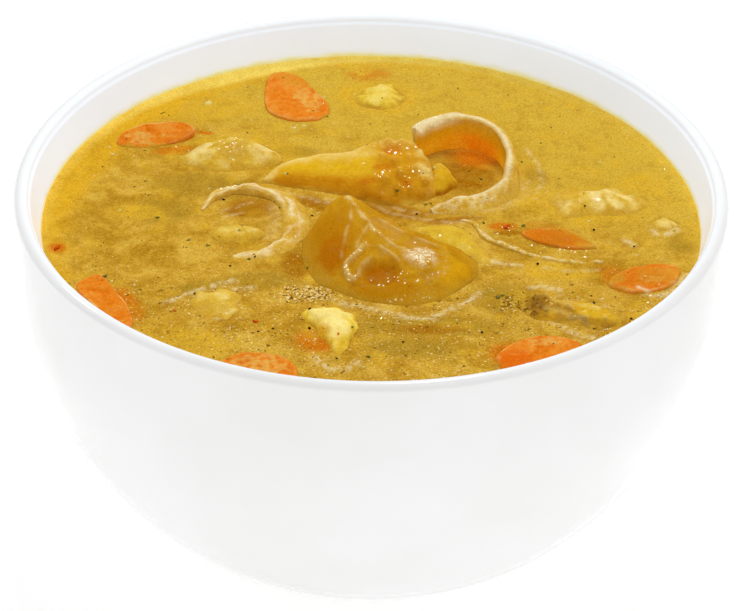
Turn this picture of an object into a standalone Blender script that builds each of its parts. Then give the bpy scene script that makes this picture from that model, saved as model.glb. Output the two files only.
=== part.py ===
"""Bowl of cow foot soup: a deep round white bowl, its broth, and the pieces of food that break the surface.

All sizes below are in millimetres. The origin is the centre of the foot's underside, +Z is up, and the
eater sits on the -Y side. Each piece of food dips into the broth, which has a fitted pocket for it.
"""
import math

import bmesh
import bpy
from mathutils import Vector

MM = 0.001

# Bowl
RIM_RADIUS = 80.0
HEIGHT = 84.0
SPHERE_CENTRE = 65.0        # the side below this height is part of a sphere of the rim's radius
LIP = 3.1                   # thickness of the rounded lip
WALL = 6.2                  # thickness of the wall below the lip's taper
TAPER = 12.0                # height over which the wall thins from that to the lip
FOOT_RADIUS = 43.5
FOOT_WIDTH = 4.5
FOOT_HEIGHT = 3.6
FLOOR = 8.0                 # height of the inside floor
FLOOR_EDGE = (35.0, 8.3)    # radius and height where the floor turns up
WALL_HEIGHTS = (13.0, 22.0, 34.0, 50.0, 72.0)   # where the inside profile has its corners
CAP = 10.0                  # radius of the flat disc that closes a turned surface at its axis
TURNS = 56                  # flats round every turned surface

# Broth
LEVEL = 73.3
GAP = 0.3                   # between any two pieces that touch

COLOURS = {
    "porcelain": ((0.90, 0.90, 0.89), 0.18),
    "broth": ((0.62, 0.38, 0.035), 0.25),
    "carrot": ((0.80, 0.25, 0.015), 0.35),
    "skin": ((0.70, 0.40, 0.08), 0.25),
    "tendon": ((0.60, 0.30, 0.02), 0.22),
    "fat": ((0.70, 0.45, 0.04), 0.30),
    "potato": ((0.72, 0.50, 0.06), 0.45),
}


def finish(name):
    """The material of that name, made the first time it is asked for."""
    if name in bpy.data.materials:
        return bpy.data.materials[name]
    material = bpy.data.materials.new(name)
    material.use_nodes = True
    shader = material.node_tree.nodes["Principled BSDF"]
    colour, roughness = COLOURS[name]
    shader.inputs["Base Color"].default_value = (*colour, 1.0)
    shader.inputs["Roughness"].default_value = roughness
    shader.inputs["Metallic"].default_value = 0.0
    material.diffuse_color = (*colour, 1.0)
    return material


def loft(name, rings, material):
    """One closed body: rings of equally many points, skinned in order, capped at the first and the last."""
    shape = bmesh.new()
    loops = [[shape.verts.new(Vector(point) * MM) for point in ring] for ring in rings]
    for near, far in zip(loops, loops[1:]):
        for i in range(len(near)):
            j = (i + 1) % len(near)
            shape.faces.new((near[i], near[j], far[j], far[i]))
    shape.faces.new(loops[0])
    shape.faces.new(loops[-1])
    bmesh.ops.recalc_face_normals(shape, faces=shape.faces)
    mesh = bpy.data.meshes.new(name)
    shape.to_mesh(mesh)
    shape.free()
    mesh.shade_smooth()
    mesh.set_sharp_from_angle(angle=math.radians(40))
    mesh.materials.append(finish(material))
    body = bpy.data.objects.new(name, mesh)
    bpy.context.scene.collection.objects.link(body)
    return body


def grown(body):
    """The body's cutter: a copy with its faces moved out by the gap, made when first asked for."""
    name = body.name + "_cutter"
    if name in bpy.data.objects:
        return bpy.data.objects[name]
    shape = bmesh.new()
    shape.from_mesh(body.data)
    steps = [corner.normal * corner.calc_shell_factor() * GAP * MM for corner in shape.verts]
    for corner, step in zip(shape.verts, steps):
        corner.co += step
    mesh = bpy.data.meshes.new(name)
    shape.to_mesh(mesh)
    shape.free()
    cutter = bpy.data.objects.new(name, mesh)
    bpy.context.scene.collection.objects.link(cutter)
    cutter.hide_render = True
    cutter.display_type = "WIRE"
    return cutter


def cut(body, cutter):
    """Takes the cutter's shape out of the body."""
    step = body.modifiers.new("clear_of_" + cutter.name, "BOOLEAN")
    step.operation = "DIFFERENCE"
    step.solver = "EXACT"
    step.object = cutter


def curve(points, count, closed=False):
    """That many points on a smooth curve through a few given ones, of any dimension."""
    last = len(points)
    spans = last if closed else last - 1
    made = []
    for step in range(count):
        place = step * spans / (count if closed else count - 1)
        span = min(int(place), spans - 1)
        t = place - span
        around = []
        for shift in (-1, 0, 1, 2):
            index = span + shift
            around.append(points[index % last] if closed else points[max(0, min(last - 1, index))])
        made.append(tuple(
            0.5 * (2 * b + (c - a) * t + (2 * a - 5 * b + 4 * c - d) * t ** 2
                   + (3 * b - a - 3 * c + d) * t ** 3)
            for a, b, c, d in zip(*around)))
    return made


def arc(centre, radius, start, end, steps):
    """Points (radius, height) on a circular arc of a profile, angles in degrees from +X towards +Z."""
    made = []
    for step in range(steps + 1):
        angle = math.radians(start + (end - start) * step / steps)
        made.append((centre[0] + radius * math.cos(angle), centre[1] + radius * math.sin(angle)))
    return made


def turned(name, profile, material):
    """A body of revolution from a profile of (radius, height) points, flat at both ends of the profile."""
    rings = []
    for radius, height in profile:
        rings.append([
            (radius * math.cos(2 * math.pi * i / TURNS), radius * math.sin(2 * math.pi * i / TURNS), height)
            for i in range(TURNS)])
    return loft(name, rings, material)


def inner_radius(height):
    """Radius of the bowl's inside at a height: the outside, less a wall that thickens below the lip."""
    wall = LIP + (WALL - LIP) * min(1.0, (HEIGHT - height) / TAPER)
    below = max(0.0, SPHERE_CENTRE - height)
    return math.sqrt(RIM_RADIUS ** 2 - below ** 2) - wall


def make_bowl():
    """Glazed porcelain, up the inside, over the lip, down the outside and under the foot ring."""
    inside = [(CAP, FLOOR), FLOOR_EDGE] + [(inner_radius(height), height) for height in WALL_HEIGHTS]
    lip = arc((RIM_RADIUS - LIP / 2, HEIGHT - LIP / 2), LIP / 2, 180, 0, 4)
    outside = []
    for height in (65.0, 54.0, 42.0, 30.0, 20.0, 12.0, 6.5):
        outside.append((math.sqrt(RIM_RADIUS ** 2 - max(0.0, SPHERE_CENTRE - height) ** 2), height))
    foot = [
        (FOOT_RADIUS + 6.5, 4.4), (FOOT_RADIUS + 1.2, FOOT_HEIGHT), (FOOT_RADIUS - 0.2, FOOT_HEIGHT - 1.4),
        (FOOT_RADIUS - 0.9, 0.0), (FOOT_RADIUS - FOOT_WIDTH, 0.0), (FOOT_RADIUS - FOOT_WIDTH - 1.2, 2.2),
        (CAP, 2.6)]
    return turned("bowl", inside + lip + outside + foot, "porcelain")


def inset(profile, gap):
    """The profile moved by the gap towards the bowl's inside, which lies to the left of its run."""
    moved = []
    for i, (radius, height) in enumerate(profile):
        (r0, h0), (r1, h1) = profile[max(0, i - 1)], profile[min(len(profile) - 1, i + 1)]
        before = Vector((radius - r0, height - h0)) if i else Vector((r1 - radius, h1 - height))
        after = Vector((r1 - radius, h1 - height)) if i < len(profile) - 1 else before
        normal = before.normalized() + after.normalized()
        normal = Vector((-normal.y, normal.x)).normalized()
        reach = gap / max(0.5, normal.dot(Vector((-after.y, after.x)).normalized()))
        moved.append((radius + normal.x * reach, height + normal.y * reach))
    return moved


def make_broth(pieces):
    """The broth, level to the wall, with a pocket for each piece of food."""
    wall = [(inner_radius(height), height) for height in WALL_HEIGHTS + (LEVEL + GAP,)]
    side = inset([(CAP, FLOOR), FLOOR_EDGE] + wall, GAP)
    side[-1] = (side[-1][0], LEVEL)
    broth = turned("broth", side, "broth")
    for piece in pieces:
        cut(broth, grown(piece))
    return broth


def about(centre, point, scale):
    """The point moved towards the centre, or away from it, in plan."""
    return centre[0] + (point[0] - centre[0]) * scale, centre[1] + (point[1] - centre[1]) * scale


def middle_of(edge):
    """The mean of an outline's points."""
    return sum(p[0] for p in edge) / len(edge), sum(p[1] for p in edge) / len(edge)


def slab(name, outline, top, depth, material, lean=0.0):
    """A flat piece with softened edges, lying in the broth. The lean is its top's rise per mm towards the back."""
    edge = curve(outline, 12, closed=True)
    middle = middle_of(edge)
    rings = []
    for scale, height in ((0.86, -depth), (1.0, -depth * 0.72), (1.0, top - 0.9), (0.9, top)):
        plan = [about(middle, point, scale) for point in edge]
        rings.append([(x, y, LEVEL + height + (y - middle[1]) * lean) for x, y in plan])
    return loft(name, rings, material)


def mound(name, outline, crest, rise, depth, material, count=13):
    """A soft lump. The outline is where it meets the broth, and the crest is where it is highest."""
    edge = curve(outline, count, closed=True)
    middle = middle_of(edge)
    rings = []
    for scale, height in ((0.6, -depth), (1.0, -depth * 0.5)):
        plan = [about(middle, point, scale) for point in edge]
        rings.append([(x, y, LEVEL + height) for x, y in plan])
    for scale in (1.0, 0.9, 0.68, 0.4, 0.14):
        height = rise * (1.0 - scale ** 2.2) - 0.1
        plan = [about(crest, point, scale) for point in edge]
        rings.append([(x, y, LEVEL + height) for x, y in plan])
    return loft(name, rings, material)


def band(name, stations, depth, material, count):
    """A strip of skin standing on edge in the broth, with a rounded top edge.

    Each station is (x, y, height of the top edge over the broth, thickness).
    """
    line = curve(stations, count)
    rings = []
    for i, (x, y, top, thick) in enumerate(line):
        before, after = line[max(0, i - 1)], line[min(count - 1, i + 1)]
        along = Vector((after[0] - before[0], after[1] - before[1])).normalized()
        side = Vector((-along.y, along.x)) * thick / 2
        shoulder = top - thick * 0.35
        section = (
            (0.8, -depth), (1.0, shoulder), (0.5, top), (-0.5, top), (-1.0, shoulder), (-0.8, -depth))
        rings.append([(x + side.x * a, y + side.y * a, LEVEL + height) for a, height in section])
    return loft(name, rings, material)


def hump(name, stations, depth, material, count):
    """A long limp piece lying from left to right in the broth, humped across.

    Each station is (x, back edge y, crest y, front edge y, height of the crest over the broth).
    """
    rings = []
    for x, back, crest, front, rise in curve(stations, count):
        tuck = (back - front) * 0.15
        section = (
            (back - tuck, -depth), (back, -1.0), ((back * 2 + crest) / 3, rise * 0.7), (crest, rise),
            (crest + (front - crest) * 0.4, rise * 0.8), (crest + (front - crest) * 0.75, rise * 0.4),
            (front, -1.0), (front + tuck, -depth))
        rings.append([(x, y, LEVEL + height) for y, height in section])
    return loft(name, rings, material)


def make_carrots():
    """Carrot slices and wedges, 15 to 20 mm across, most of them lying flat in the surface."""
    back = slab("carrot_back", [
        (-25.5, 64.5), (-19.5, 65.0), (-14.0, 56.5), (-10.3, 49.0), (-12.5, 43.2), (-20.0, 42.6),
        (-26.0, 48.5)], 1.0, 6.0, "carrot")
    left_back = slab("carrot_left_back", [
        (-59.5, 29.8), (-52.0, 29.6), (-45.0, 32.0), (-42.2, 35.6), (-47.0, 37.0), (-56.0, 35.6),
        (-60.3, 32.6)], 1.6, 9.0, "carrot", lean=0.4)
    left_front = slab("carrot_left_front", [
        (-64.2, -29.6), (-60.2, -25.2), (-56.2, -29.8), (-51.6, -38.5), (-50.5, -45.0), (-53.2, -46.0),
        (-59.4, -38.0)], 0.8, 6.0, "carrot")
    front = slab("carrot_front", [
        (-31.0, -57.5), (-25.0, -54.0), (-18.5, -55.0), (-14.5, -61.0), (-17.5, -67.5), (-24.0, -67.5),
        (-30.0, -63.5)], 0.8, 6.0, "carrot")
    right_front = slab("carrot_right_front", [
        (26.5, -54.5), (30.5, -49.3), (38.0, -46.3), (44.5, -49.5), (43.5, -55.0), (37.0, -60.5),
        (29.5, -61.0)], 0.8, 6.0, "carrot")
    right = slab("carrot_right", [
        (51.8, -25.5), (57.0, -20.0), (64.0, -17.8), (68.4, -20.0), (66.4, -26.0), (60.6, -29.6),
        (55.0, -29.0)], 0.7, 5.0, "carrot")
    sliver = slab("carrot_sliver", [
        (34.0, -6.0), (40.0, -4.5), (47.0, -8.0), (50.0, -12.0), (43.0, -12.2), (36.5, -9.5)],
        0.7, 4.0, "carrot")
    return [back, left_back, left_front, front, right_front, right, sliver]


def make_skin():
    """Skin of the foot: one curl standing up, one ring lying low, and the edge of a thin sheet."""
    curl = band("skin_curl", [
        (9.8, 27.4, 7.6, 4.0), (14.2, 30.6, 8.4, 3.4), (20.5, 31.8, 8.8, 2.4), (26.6, 30.0, 8.6, 2.1),
        (30.8, 25.2, 7.4, 2.1), (32.3, 18.2, 5.2, 2.4), (30.6, 11.4, 3.0, 3.2), (25.5, 7.4, 1.7, 3.2),
        (19.0, 5.0, 1.3, 2.6), (13.4, 2.6, 0.9, 1.6)], 6.0, "skin", count=24)
    ring = band("skin_ring", [
        (-38.6, 1.6, 0.9, 1.2), (-36.0, 7.0, 1.7, 1.5), (-30.5, 10.2, 2.0, 1.7), (-24.2, 9.2, 1.8, 2.4),
        (-19.2, 4.6, 1.6, 4.0), (-17.2, -3.0, 1.4, 5.2), (-18.6, -10.4, 1.2, 4.8),
        (-24.2, -15.4, 0.9, 3.4), (-30.4, -17.0, 0.5, 2.0)], 4.0, "skin", count=18)
    sheet = band("skin_sheet", [
        (20.0, -0.6, 0.7, 1.0), (23.4, -2.6, 0.8, 1.0), (25.6, -8.0, 0.9, 1.1), (31.0, -12.2, 0.9, 1.3),
        (38.0, -15.8, 0.8, 1.6), (45.0, -17.6, 0.7, 1.6), (51.5, -17.2, 0.5, 1.2)],
        3.0, "skin", count=14)
    return [curl, ring, sheet]


def make_tendon():
    """The long tendon behind the middle, knuckled at its right end, and the small knob beside that end."""
    strip = hump("tendon_strip", [
        (-25.2, 15.6, 15.2, 14.2, 0.8), (-20.5, 20.4, 18.0, 12.6, 3.0), (-13.5, 22.6, 19.6, 10.6, 4.2),
        (-6.0, 23.2, 20.2, 8.4, 4.6), (-1.0, 25.0, 22.0, 6.2, 5.8), (4.0, 25.8, 22.6, 4.6, 6.6),
        (8.6, 24.4, 21.8, 4.6, 6.8), (12.2, 22.0, 18.0, 6.6, 5.8), (14.4, 16.4, 12.2, 8.2, 3.0)],
        6.0, "tendon", count=17)
    knob = mound("tendon_knob", [
        (14.4, 10.2), (18.4, 11.2), (19.8, 15.4), (17.2, 19.2), (13.6, 18.6)],
        (16.6, 16.0), 4.0, 5.0, "tendon", count=10)
    cut(knob, grown(strip))
    return [strip, knob]


def make_foot():
    """The folded chunk of foot in the middle, a fin at the back left, and the slab of fat beside it."""
    chunk = hump("foot_chunk", [
        (-15.2, -9.6, -13.0, -19.5, 0.7), (-12.0, -3.6, -7.0, -27.0, 3.2), (-8.6, -0.4, -3.8, -29.8, 5.8),
        (-5.4, 0.0, -3.2, -31.8, 7.3), (-1.6, -1.8, -5.4, -34.0, 6.7), (3.4, -5.8, -9.6, -35.2, 5.3),
        (8.6, -9.0, -12.8, -35.8, 4.2), (14.4, -11.6, -15.2, -33.8, 3.3), (19.6, -14.2, -17.6, -29.4, 2.3),
        (23.6, -17.6, -19.8, -23.6, 0.7)], 8.0, "skin", count=18)
    fat = mound("fat_slab", [
        (8.4, -5.0), (14.4, -2.8), (20.6, -4.0), (23.4, -9.0), (26.2, -14.8), (25.4, -19.0),
        (18.0, -15.0), (11.0, -10.0)], (17.0, -7.4), 1.5, 5.0, "fat", count=14)
    cut(fat, grown(chunk))
    return [chunk, fat]


def make_lumps():
    """Softer pieces that only just break the surface."""
    left = mound("meat_left", [
        (-44.8, 23.0), (-43.5, 29.6), (-37.5, 32.4), (-31.5, 31.6), (-26.0, 31.4), (-21.6, 26.0),
        (-23.6, 21.4), (-30.6, 19.2), (-38.5, 19.0)], (-31.0, 27.0), 3.2, 6.0, "fat")
    right = mound("meat_right", [
        (40.5, 6.0), (43.0, 11.0), (50.0, 11.0), (57.0, 12.0), (62.6, 8.4), (60.0, 3.0), (50.0, 1.6),
        (43.5, 1.6)], (52.6, 8.6), 2.0, 5.0, "fat")
    right_small = mound("meat_right_small", [
        (62.6, -1.2), (66.0, 2.2), (70.0, -0.8), (66.6, -3.8)], (66.3, -0.6), 1.4, 4.0, "fat", count=10)
    right_front = mound("meat_front_right", [
        (31.6, -34.6), (36.0, -30.0), (42.5, -32.6), (50.5, -35.4), (54.5, -39.5), (50.0, -44.2),
        (43.0, -42.4), (35.5, -40.0)], (40.5, -36.2), 2.0, 5.0, "tendon")
    left_front = mound("meat_left_front", [
        (-38.6, -33.0), (-34.0, -30.4), (-29.4, -33.4), (-29.2, -39.6), (-33.6, -42.0), (-38.0, -38.6)],
        (-33.6, -35.4), 1.2, 5.0, "fat", count=10)
    front = mound("potato_front", [
        (-14.4, -40.0), (-11.0, -36.8), (-5.0, -37.6), (-2.6, -42.0), (-4.0, -50.0), (-6.6, -54.6),
        (-10.0, -47.6)], (-8.6, -41.6), 2.4, 6.0, "potato")
    back = mound("potato_back", [
        (-4.4, 51.4), (-2.0, 58.6), (3.6, 60.6), (8.0, 56.0), (6.6, 50.4), (0.8, 48.8)],
        (2.0, 55.0), 1.8, 5.0, "potato")
    in_ring = mound("potato_in_ring", [
        (-35.0, -6.8), (-31.0, -3.6), (-26.0, -5.6), (-25.4, -9.4), (-29.6, -11.2), (-34.0, -10.4)],
        (-30.0, -6.6), 1.6, 4.0, "potato", count=10)
    return [left, right, right_small, right_front, left_front, front, back, in_ring]


for old in list(bpy.data.objects):
    bpy.data.objects.remove(old)

make_bowl()
food = make_carrots() + make_skin() + make_tendon() + make_foot() + make_lumps()
make_broth(food)
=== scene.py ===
import math

import bmesh
import bpy
import numpy as np
from mathutils import Matrix, Vector


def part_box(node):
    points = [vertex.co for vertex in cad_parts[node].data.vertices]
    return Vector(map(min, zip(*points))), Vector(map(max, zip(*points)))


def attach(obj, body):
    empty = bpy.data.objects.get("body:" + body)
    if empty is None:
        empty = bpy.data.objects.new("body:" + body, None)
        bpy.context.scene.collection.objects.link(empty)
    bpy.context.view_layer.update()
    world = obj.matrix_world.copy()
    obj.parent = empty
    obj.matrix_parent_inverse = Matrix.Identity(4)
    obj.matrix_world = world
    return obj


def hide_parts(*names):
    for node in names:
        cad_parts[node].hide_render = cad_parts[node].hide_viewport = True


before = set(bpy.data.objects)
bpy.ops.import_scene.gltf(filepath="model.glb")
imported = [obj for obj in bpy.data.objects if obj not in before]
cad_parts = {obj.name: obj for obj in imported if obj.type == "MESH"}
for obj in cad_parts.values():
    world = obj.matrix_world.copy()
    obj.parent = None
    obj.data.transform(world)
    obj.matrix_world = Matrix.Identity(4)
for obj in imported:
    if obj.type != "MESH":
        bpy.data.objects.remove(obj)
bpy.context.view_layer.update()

# Bowl of cow foot soup. The frame holds the bowl, the broth and each piece of food at its real size, and
# this script gives them their surfaces: the bowl first, then the food, then the broth poured round it, then
# what floats on the broth. Lengths are in millimetres until a mesh is made, and heights of food are measured
# from the broth's level.

# ------------------------------------------------------------------------------------------------------
# Bowl
# White porcelain turned as most of a sphere on a low foot ring. It is dipped in clear glaze and fired, and
# the ring's underside is wiped bare so that it doesn't stick to the kiln shelf.

MM = 0.001
RIM_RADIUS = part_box("bowl")[1].x / MM
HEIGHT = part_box("bowl")[1].z / MM
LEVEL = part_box("carrot_back")[1].z / MM - 1.0    # the broth's level: that slice stands 1 mm above it
SPHERE_CENTRE = 65.0        # below this height the side is part of a sphere of the rim's radius
LIP = 3.1                   # thickness of the rounded lip
WALL = 6.2                  # thickness of the wall below the lip's taper
TAPER = 12.0                # height over which the wall thins from that to the lip
FLOOR = 8.0
BOWL_TURNS = 240
FILM_FADES = (0.5, 2.3)     # heights over the broth between which its film on the wall fades out
FILM_WAVES = 0.25           # how far that edge runs up and down
OF_COLOURS = {"out": "Result", "data_type": "RGBA"}    # a mix node's settings when it mixes colours


def linear(code):
    """The linear colour of an sRGB hex code."""
    parts = [int(code[i:i + 2], 16) / 255 for i in (1, 3, 5)]
    return tuple(p / 12.92 if p <= 0.04045 else ((p + 0.055) / 1.055) ** 2.4 for p in parts) + (1.0,)


def feed(node, inputs):
    """Sets a shader node's inputs, each to a value or to the output that feeds it."""
    for key, value in inputs.items():
        if isinstance(value, bpy.types.NodeSocket):
            node.id_data.links.new(value, node.inputs[key])
        else:
            node.inputs[key].default_value = value


def add(tree, kind, inputs=None, out=0, **settings):
    """One shader node with its inputs and settings. Returns its output of that name or number."""
    made = tree.nodes.new("ShaderNode" + kind)
    for key, value in settings.items():
        if key == "stops":
            while len(made.color_ramp.elements) < len(value):
                made.color_ramp.elements.new(0.5)
            for stop, (place, shade) in zip(made.color_ramp.elements, value):
                stop.position = place
                stop.color = linear(shade)
        else:
            setattr(made, key, value)
    feed(made, inputs or {})
    return made.outputs[out]


def material(name, **values):
    """A new material: its tree, its shader and the position on the object, for patterns of a real size."""
    made = bpy.data.materials.new(name)
    made.use_nodes = True
    shader = made.node_tree.nodes["Principled BSDF"]
    feed(shader, {key.replace("_", " "): value for key, value in values.items()})
    return made, made.node_tree, shader, add(made.node_tree, "TexCoord", out="Object")


def curve(points, count, closed=False):
    """That many points on a smooth curve through a few given ones, of any dimension."""
    points = np.array(points, float)
    last = len(points)
    spans = last if closed else last - 1
    place = np.arange(count) * spans / (count if closed else count - 1)
    span = np.minimum(place.astype(int), spans - 1)
    t = (place - span)[:, None]
    near = [span + shift for shift in (-1, 0, 1, 2)]
    a, b, c, d = (points[i % last] if closed else points[np.clip(i, 0, last - 1)] for i in near)
    square, cube = 2 * a - 5 * b + 4 * c - d, 3 * b - a - 3 * c + d
    return 0.5 * (2 * b + (c - a) * t + square * t ** 2 + cube * t ** 3)


def arc(centre, radius, start, end, steps):
    """Points (radius, height) on a circular arc of a profile, angles in degrees from +X towards +Z."""
    turn = np.radians(np.linspace(start, end, steps + 1))
    return np.stack([centre[0] + radius * np.cos(turn), centre[1] + radius * np.sin(turn)], 1)


def turned(profile, turns):
    """Rings of points round the Z axis, from a profile of (radius, height) points."""
    turn = np.linspace(0, 2 * math.pi, turns, endpoint=False)
    profile = np.array(profile, float)
    ring = np.stack([np.cos(turn), np.sin(turn), np.ones(turns)], 1)
    return ring[None] * np.stack([profile[:, 0], profile[:, 0], profile[:, 1]], 1)[:, None]


def solid(name, points, faces):
    """A new smooth closed mesh from points in millimetres, with its faces turned to look outwards."""
    mesh = bpy.data.meshes.new(name)
    mesh.from_pydata((points * MM).tolist(), [], faces)
    shape = bmesh.new()
    shape.from_mesh(mesh)
    bmesh.ops.recalc_face_normals(shape, faces=shape.faces)
    shape.to_mesh(mesh)
    shape.free()
    mesh.shade_smooth()
    made = bpy.data.objects.new(name, mesh)
    bpy.context.scene.collection.objects.link(made)
    return made


def skin(name, rings):
    """One closed smooth mesh: rings of equally many points in millimetres, skinned in order, with both ends
    closed by a fan to their middle."""
    rings = np.asarray(rings, float)
    count, around = rings.shape[:2]
    points = np.concatenate([rings.reshape(-1, 3), rings[0].mean(0)[None], rings[-1].mean(0)[None]])
    index = np.arange(count * around).reshape(count, around)
    beside = np.roll(index, -1, 1)
    sides = np.stack([index[:-1], beside[:-1], beside[1:], index[1:]], -1).reshape(-1, 4)
    first = [(int(b), int(a), count * around) for a, b in zip(index[0], beside[0])]
    last = [(int(a), int(b), count * around + 1) for a, b in zip(index[-1], beside[-1])]
    return solid(name, points, sides.tolist() + first + last)


def seat(piece, finish, slot, *nodes):
    """Gives a piece its material and its place in the frame, where it stands for those CAD nodes."""
    piece.data.materials.append(finish)
    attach(piece, "root")
    if nodes:
        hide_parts(*nodes)


def inner_radius(height):
    """Radius of the bowl's inside at a height: the outside, less a wall that thickens below the lip."""
    wall = LIP + (WALL - LIP) * min(1.0, (HEIGHT - height) / TAPER)
    below = max(0.0, SPHERE_CENTRE - height)
    return math.sqrt(RIM_RADIUS ** 2 - below ** 2) - wall


floor_inside = [(2.0, FLOOR), (20.0, FLOOR), (35.0, FLOOR + 0.3)]
wall_inside = [(inner_radius(height), height) for height in (13.0, 17.0, 22.0, 28.0, 34.0, 41.0, 50.0, 60.0)]
wall_top = [(inner_radius(height), height) for height in (60.0, 66.0, 70.0, 74.0, 78.0, HEIGHT - LIP / 2)]
lip_inside = arc((RIM_RADIUS - LIP / 2, HEIGHT - LIP / 2), LIP / 2, 180, 0, 20)
side = arc((0.0, SPHERE_CENTRE), RIM_RADIUS, 0, -46.5, 48)
foot = curve([
    (54.0, 6.3), (50.0, 4.5), (46.0, 3.7), (44.2, 3.1), (43.6, 2.2), (43.3, 0.6), (42.9, 0.15), (42.3, 0.0),
    (39.4, 0.0), (38.7, 0.2), (38.2, 1.2), (37.6, 2.1), (34.0, 2.5), (10.0, 2.6), (2.0, 2.6)], 70)
foot[:, 1] = np.maximum(foot[:, 1], 0.0)
profile = np.concatenate([
    curve(floor_inside + wall_inside, 60), curve(wall_top, 40)[1:-1], lip_inside, side, foot])
bowl = skin("porcelain_bowl", turned(profile, BOWL_TURNS))

# Clear glaze over white porcelain: a hard gloss with the faintest warm and cool drift where it pooled, and
# a slow ripple that bends reflections. Bare biscuit shows as a matt cream on what touches the table. Broth
# has left a thin yellow film just above its level. Above the broth the inside of the wall glows with painted
# light to brighten it: cool grey, and yellow over the film as painted light thrown up from the broth.
glaze, tree, shader, place = material(
    "glazed_porcelain", IOR=1.5, Coat_Weight=0.08, Coat_Roughness=0.06, Specular_IOR_Level=0.1,
    Emission_Strength=1.0)
height = add(tree, "SeparateXYZ", {0: place}, "Z")
pooled = add(tree, "TexNoise", {"Vector": place, "Scale": 1 / (35 * MM), "Detail": 3.0})
white = add(tree, "ValToRGB", {"Fac": pooled}, stops=[(0.35, "#ececeb"), (0.65, "#f0f0f0")])
drips = add(tree, "TexNoise", {"Vector": place, "Scale": 1 / (4 * MM), "Detail": 1.0})
waves = add(tree, "MapRange", {
    "Value": drips, "From Min": 0.3, "From Max": 0.7, "To Min": -FILM_WAVES * MM, "To Max": FILM_WAVES * MM})
reach = add(tree, "Math", {0: height, 1: waves}, operation="ADD")
film = add(tree, "MapRange", {
    "Value": reach, "From Min": (LEVEL + FILM_FADES[0]) * MM, "From Max": (LEVEL + FILM_FADES[1]) * MM,
    "To Min": 0.9, "To Max": 0.0}, interpolation_type="SMOOTHSTEP")
flat = add(tree, "VectorMath", {0: place, 1: (1, 1, 0)}, operation="MULTIPLY")
radius = add(tree, "VectorMath", {0: flat}, "Value", operation="LENGTH")
within = add(tree, "MapRange", {
    "Value": radius, "From Min": (RIM_RADIUS - 1.1 * LIP) * MM, "From Max": (RIM_RADIUS - 0.2 * LIP) * MM,
    "To Min": 1.0, "To Max": 0.0}, interpolation_type="SMOOTHSTEP")
upper = add(tree, "Math", {0: height, 1: (LEVEL - 4) * MM}, operation="GREATER_THAN")
inner = add(tree, "Math", {0: within, 1: upper}, operation="MULTIPLY")
film = add(tree, "Math", {0: film, 1: inner}, operation="MULTIPLY")
wetted = add(tree, "Mix", {"Factor": film, "A": white, "B": linear("#ddd27a")}, **OF_COLOURS)
bare = add(tree, "MapRange", {
    "Value": height, "From Min": 0.4 * MM, "From Max": 0.8 * MM, "To Min": 1.0, "To Max": 0.0},
    interpolation_type="SMOOTHSTEP")
clay = add(tree, "Mix", {"Factor": bare, "A": wetted, "B": linear("#ddd6c8")}, **OF_COLOURS)
# painted light: above the broth the inside of the wall glows cool grey, and yellow over the film
painted_wall_light = add(tree, "Mix", {"Factor": film, "A": linear("#6c8195"), "B": linear("#7a7c3c")}, **OF_COLOURS)
painted_glow_colour = add(tree, "Mix", {"Factor": inner, "A": linear("#000000"), "B": painted_wall_light}, **OF_COLOURS)
ripple = add(tree, "TexNoise", {"Vector": place, "Scale": 1 / (12 * MM), "Detail": 2.0})
feed(shader, {
    "Base Color": clay,
    "Emission Color": painted_glow_colour,
    "Roughness": add(tree, "MapRange", {"Value": bare, "To Min": 0.14, "To Max": 0.75}),
    "Normal": add(tree, "Bump", {"Strength": 0.15, "Distance": 0.25 * MM, "Height": ripple})})
seat(bowl, glaze, "porcelain", "bowl")

# ------------------------------------------------------------------------------------------------------
# Carrots
# Slices and wedges cut with a knife and simmered until soft: seven of them lie flat in the surface, with
# rounded edges and broth over part of them.


def noise(points, size, seed):
    """A smooth random field, about -1 to 1, whose lumps are that size apart, at points in millimetres."""
    place = np.asarray(points, float) / size
    cell = np.floor(place).astype(np.int64)
    part = place - cell
    fade = part ** 3 * (part * (part * 6 - 15) + 10)
    total = np.zeros(len(place))
    for corner in np.ndindex(2, 2, 2):
        # Each corner of a cell pushes in its own direction, which large primes scramble from its numbers.
        at = cell + corner
        mixed = at[:, 0] * 73856093 ^ at[:, 1] * 19349663 ^ at[:, 2] * 83492791 ^ (seed + 1) * 40503
        mixed = (mixed ^ (mixed >> 13)) * 1274126177 & 0x7FFFFFFF
        mixed = (mixed ^ (mixed >> 11)) * 668265263 & 0x7FFFFFFF
        turn = (mixed & 4095) / 4096 * 2 * math.pi
        rise = (mixed >> 12 & 4095) / 2048 - 1
        across = np.sqrt(1 - rise ** 2)
        push = np.stack([across * np.cos(turn), across * np.sin(turn), rise], 1)
        weight = np.prod(np.where(corner, fade, 1 - fade), 1)
        total += weight * ((part - corner) * push).sum(1)
    return total * 1.7


def points_of(piece):
    """A mesh's points in millimetres."""
    flat = np.zeros(len(piece.data.vertices) * 3)
    piece.data.vertices.foreach_get("co", flat)
    return flat.reshape(-1, 3) / MM


def normals_of(piece):
    """A mesh's normals at its points."""
    flat = np.zeros(len(piece.data.vertices) * 3)
    piece.data.vertex_normals.foreach_get("vector", flat)
    return flat.reshape(-1, 3)


def survey(piece, size, seed):
    """The plan of a mesh's points, their height over the broth and a drift of noise of that size."""
    points = points_of(piece)
    return points[:, :2], points[:, 2] - LEVEL, noise(points, size, seed)


def move(piece, points):
    """Puts a mesh's points at new places, in millimetres."""
    piece.data.vertices.foreach_set("co", (points * MM).ravel())
    piece.data.update()


def roughen(piece, *layers):
    """Pushes a surface in and out by layers of noise, each (lump size, push, seed)."""
    for size, push, seed in layers:
        points = points_of(piece)
        move(piece, points + normals_of(piece) * (noise(points, size, seed) * push)[:, None])


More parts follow.
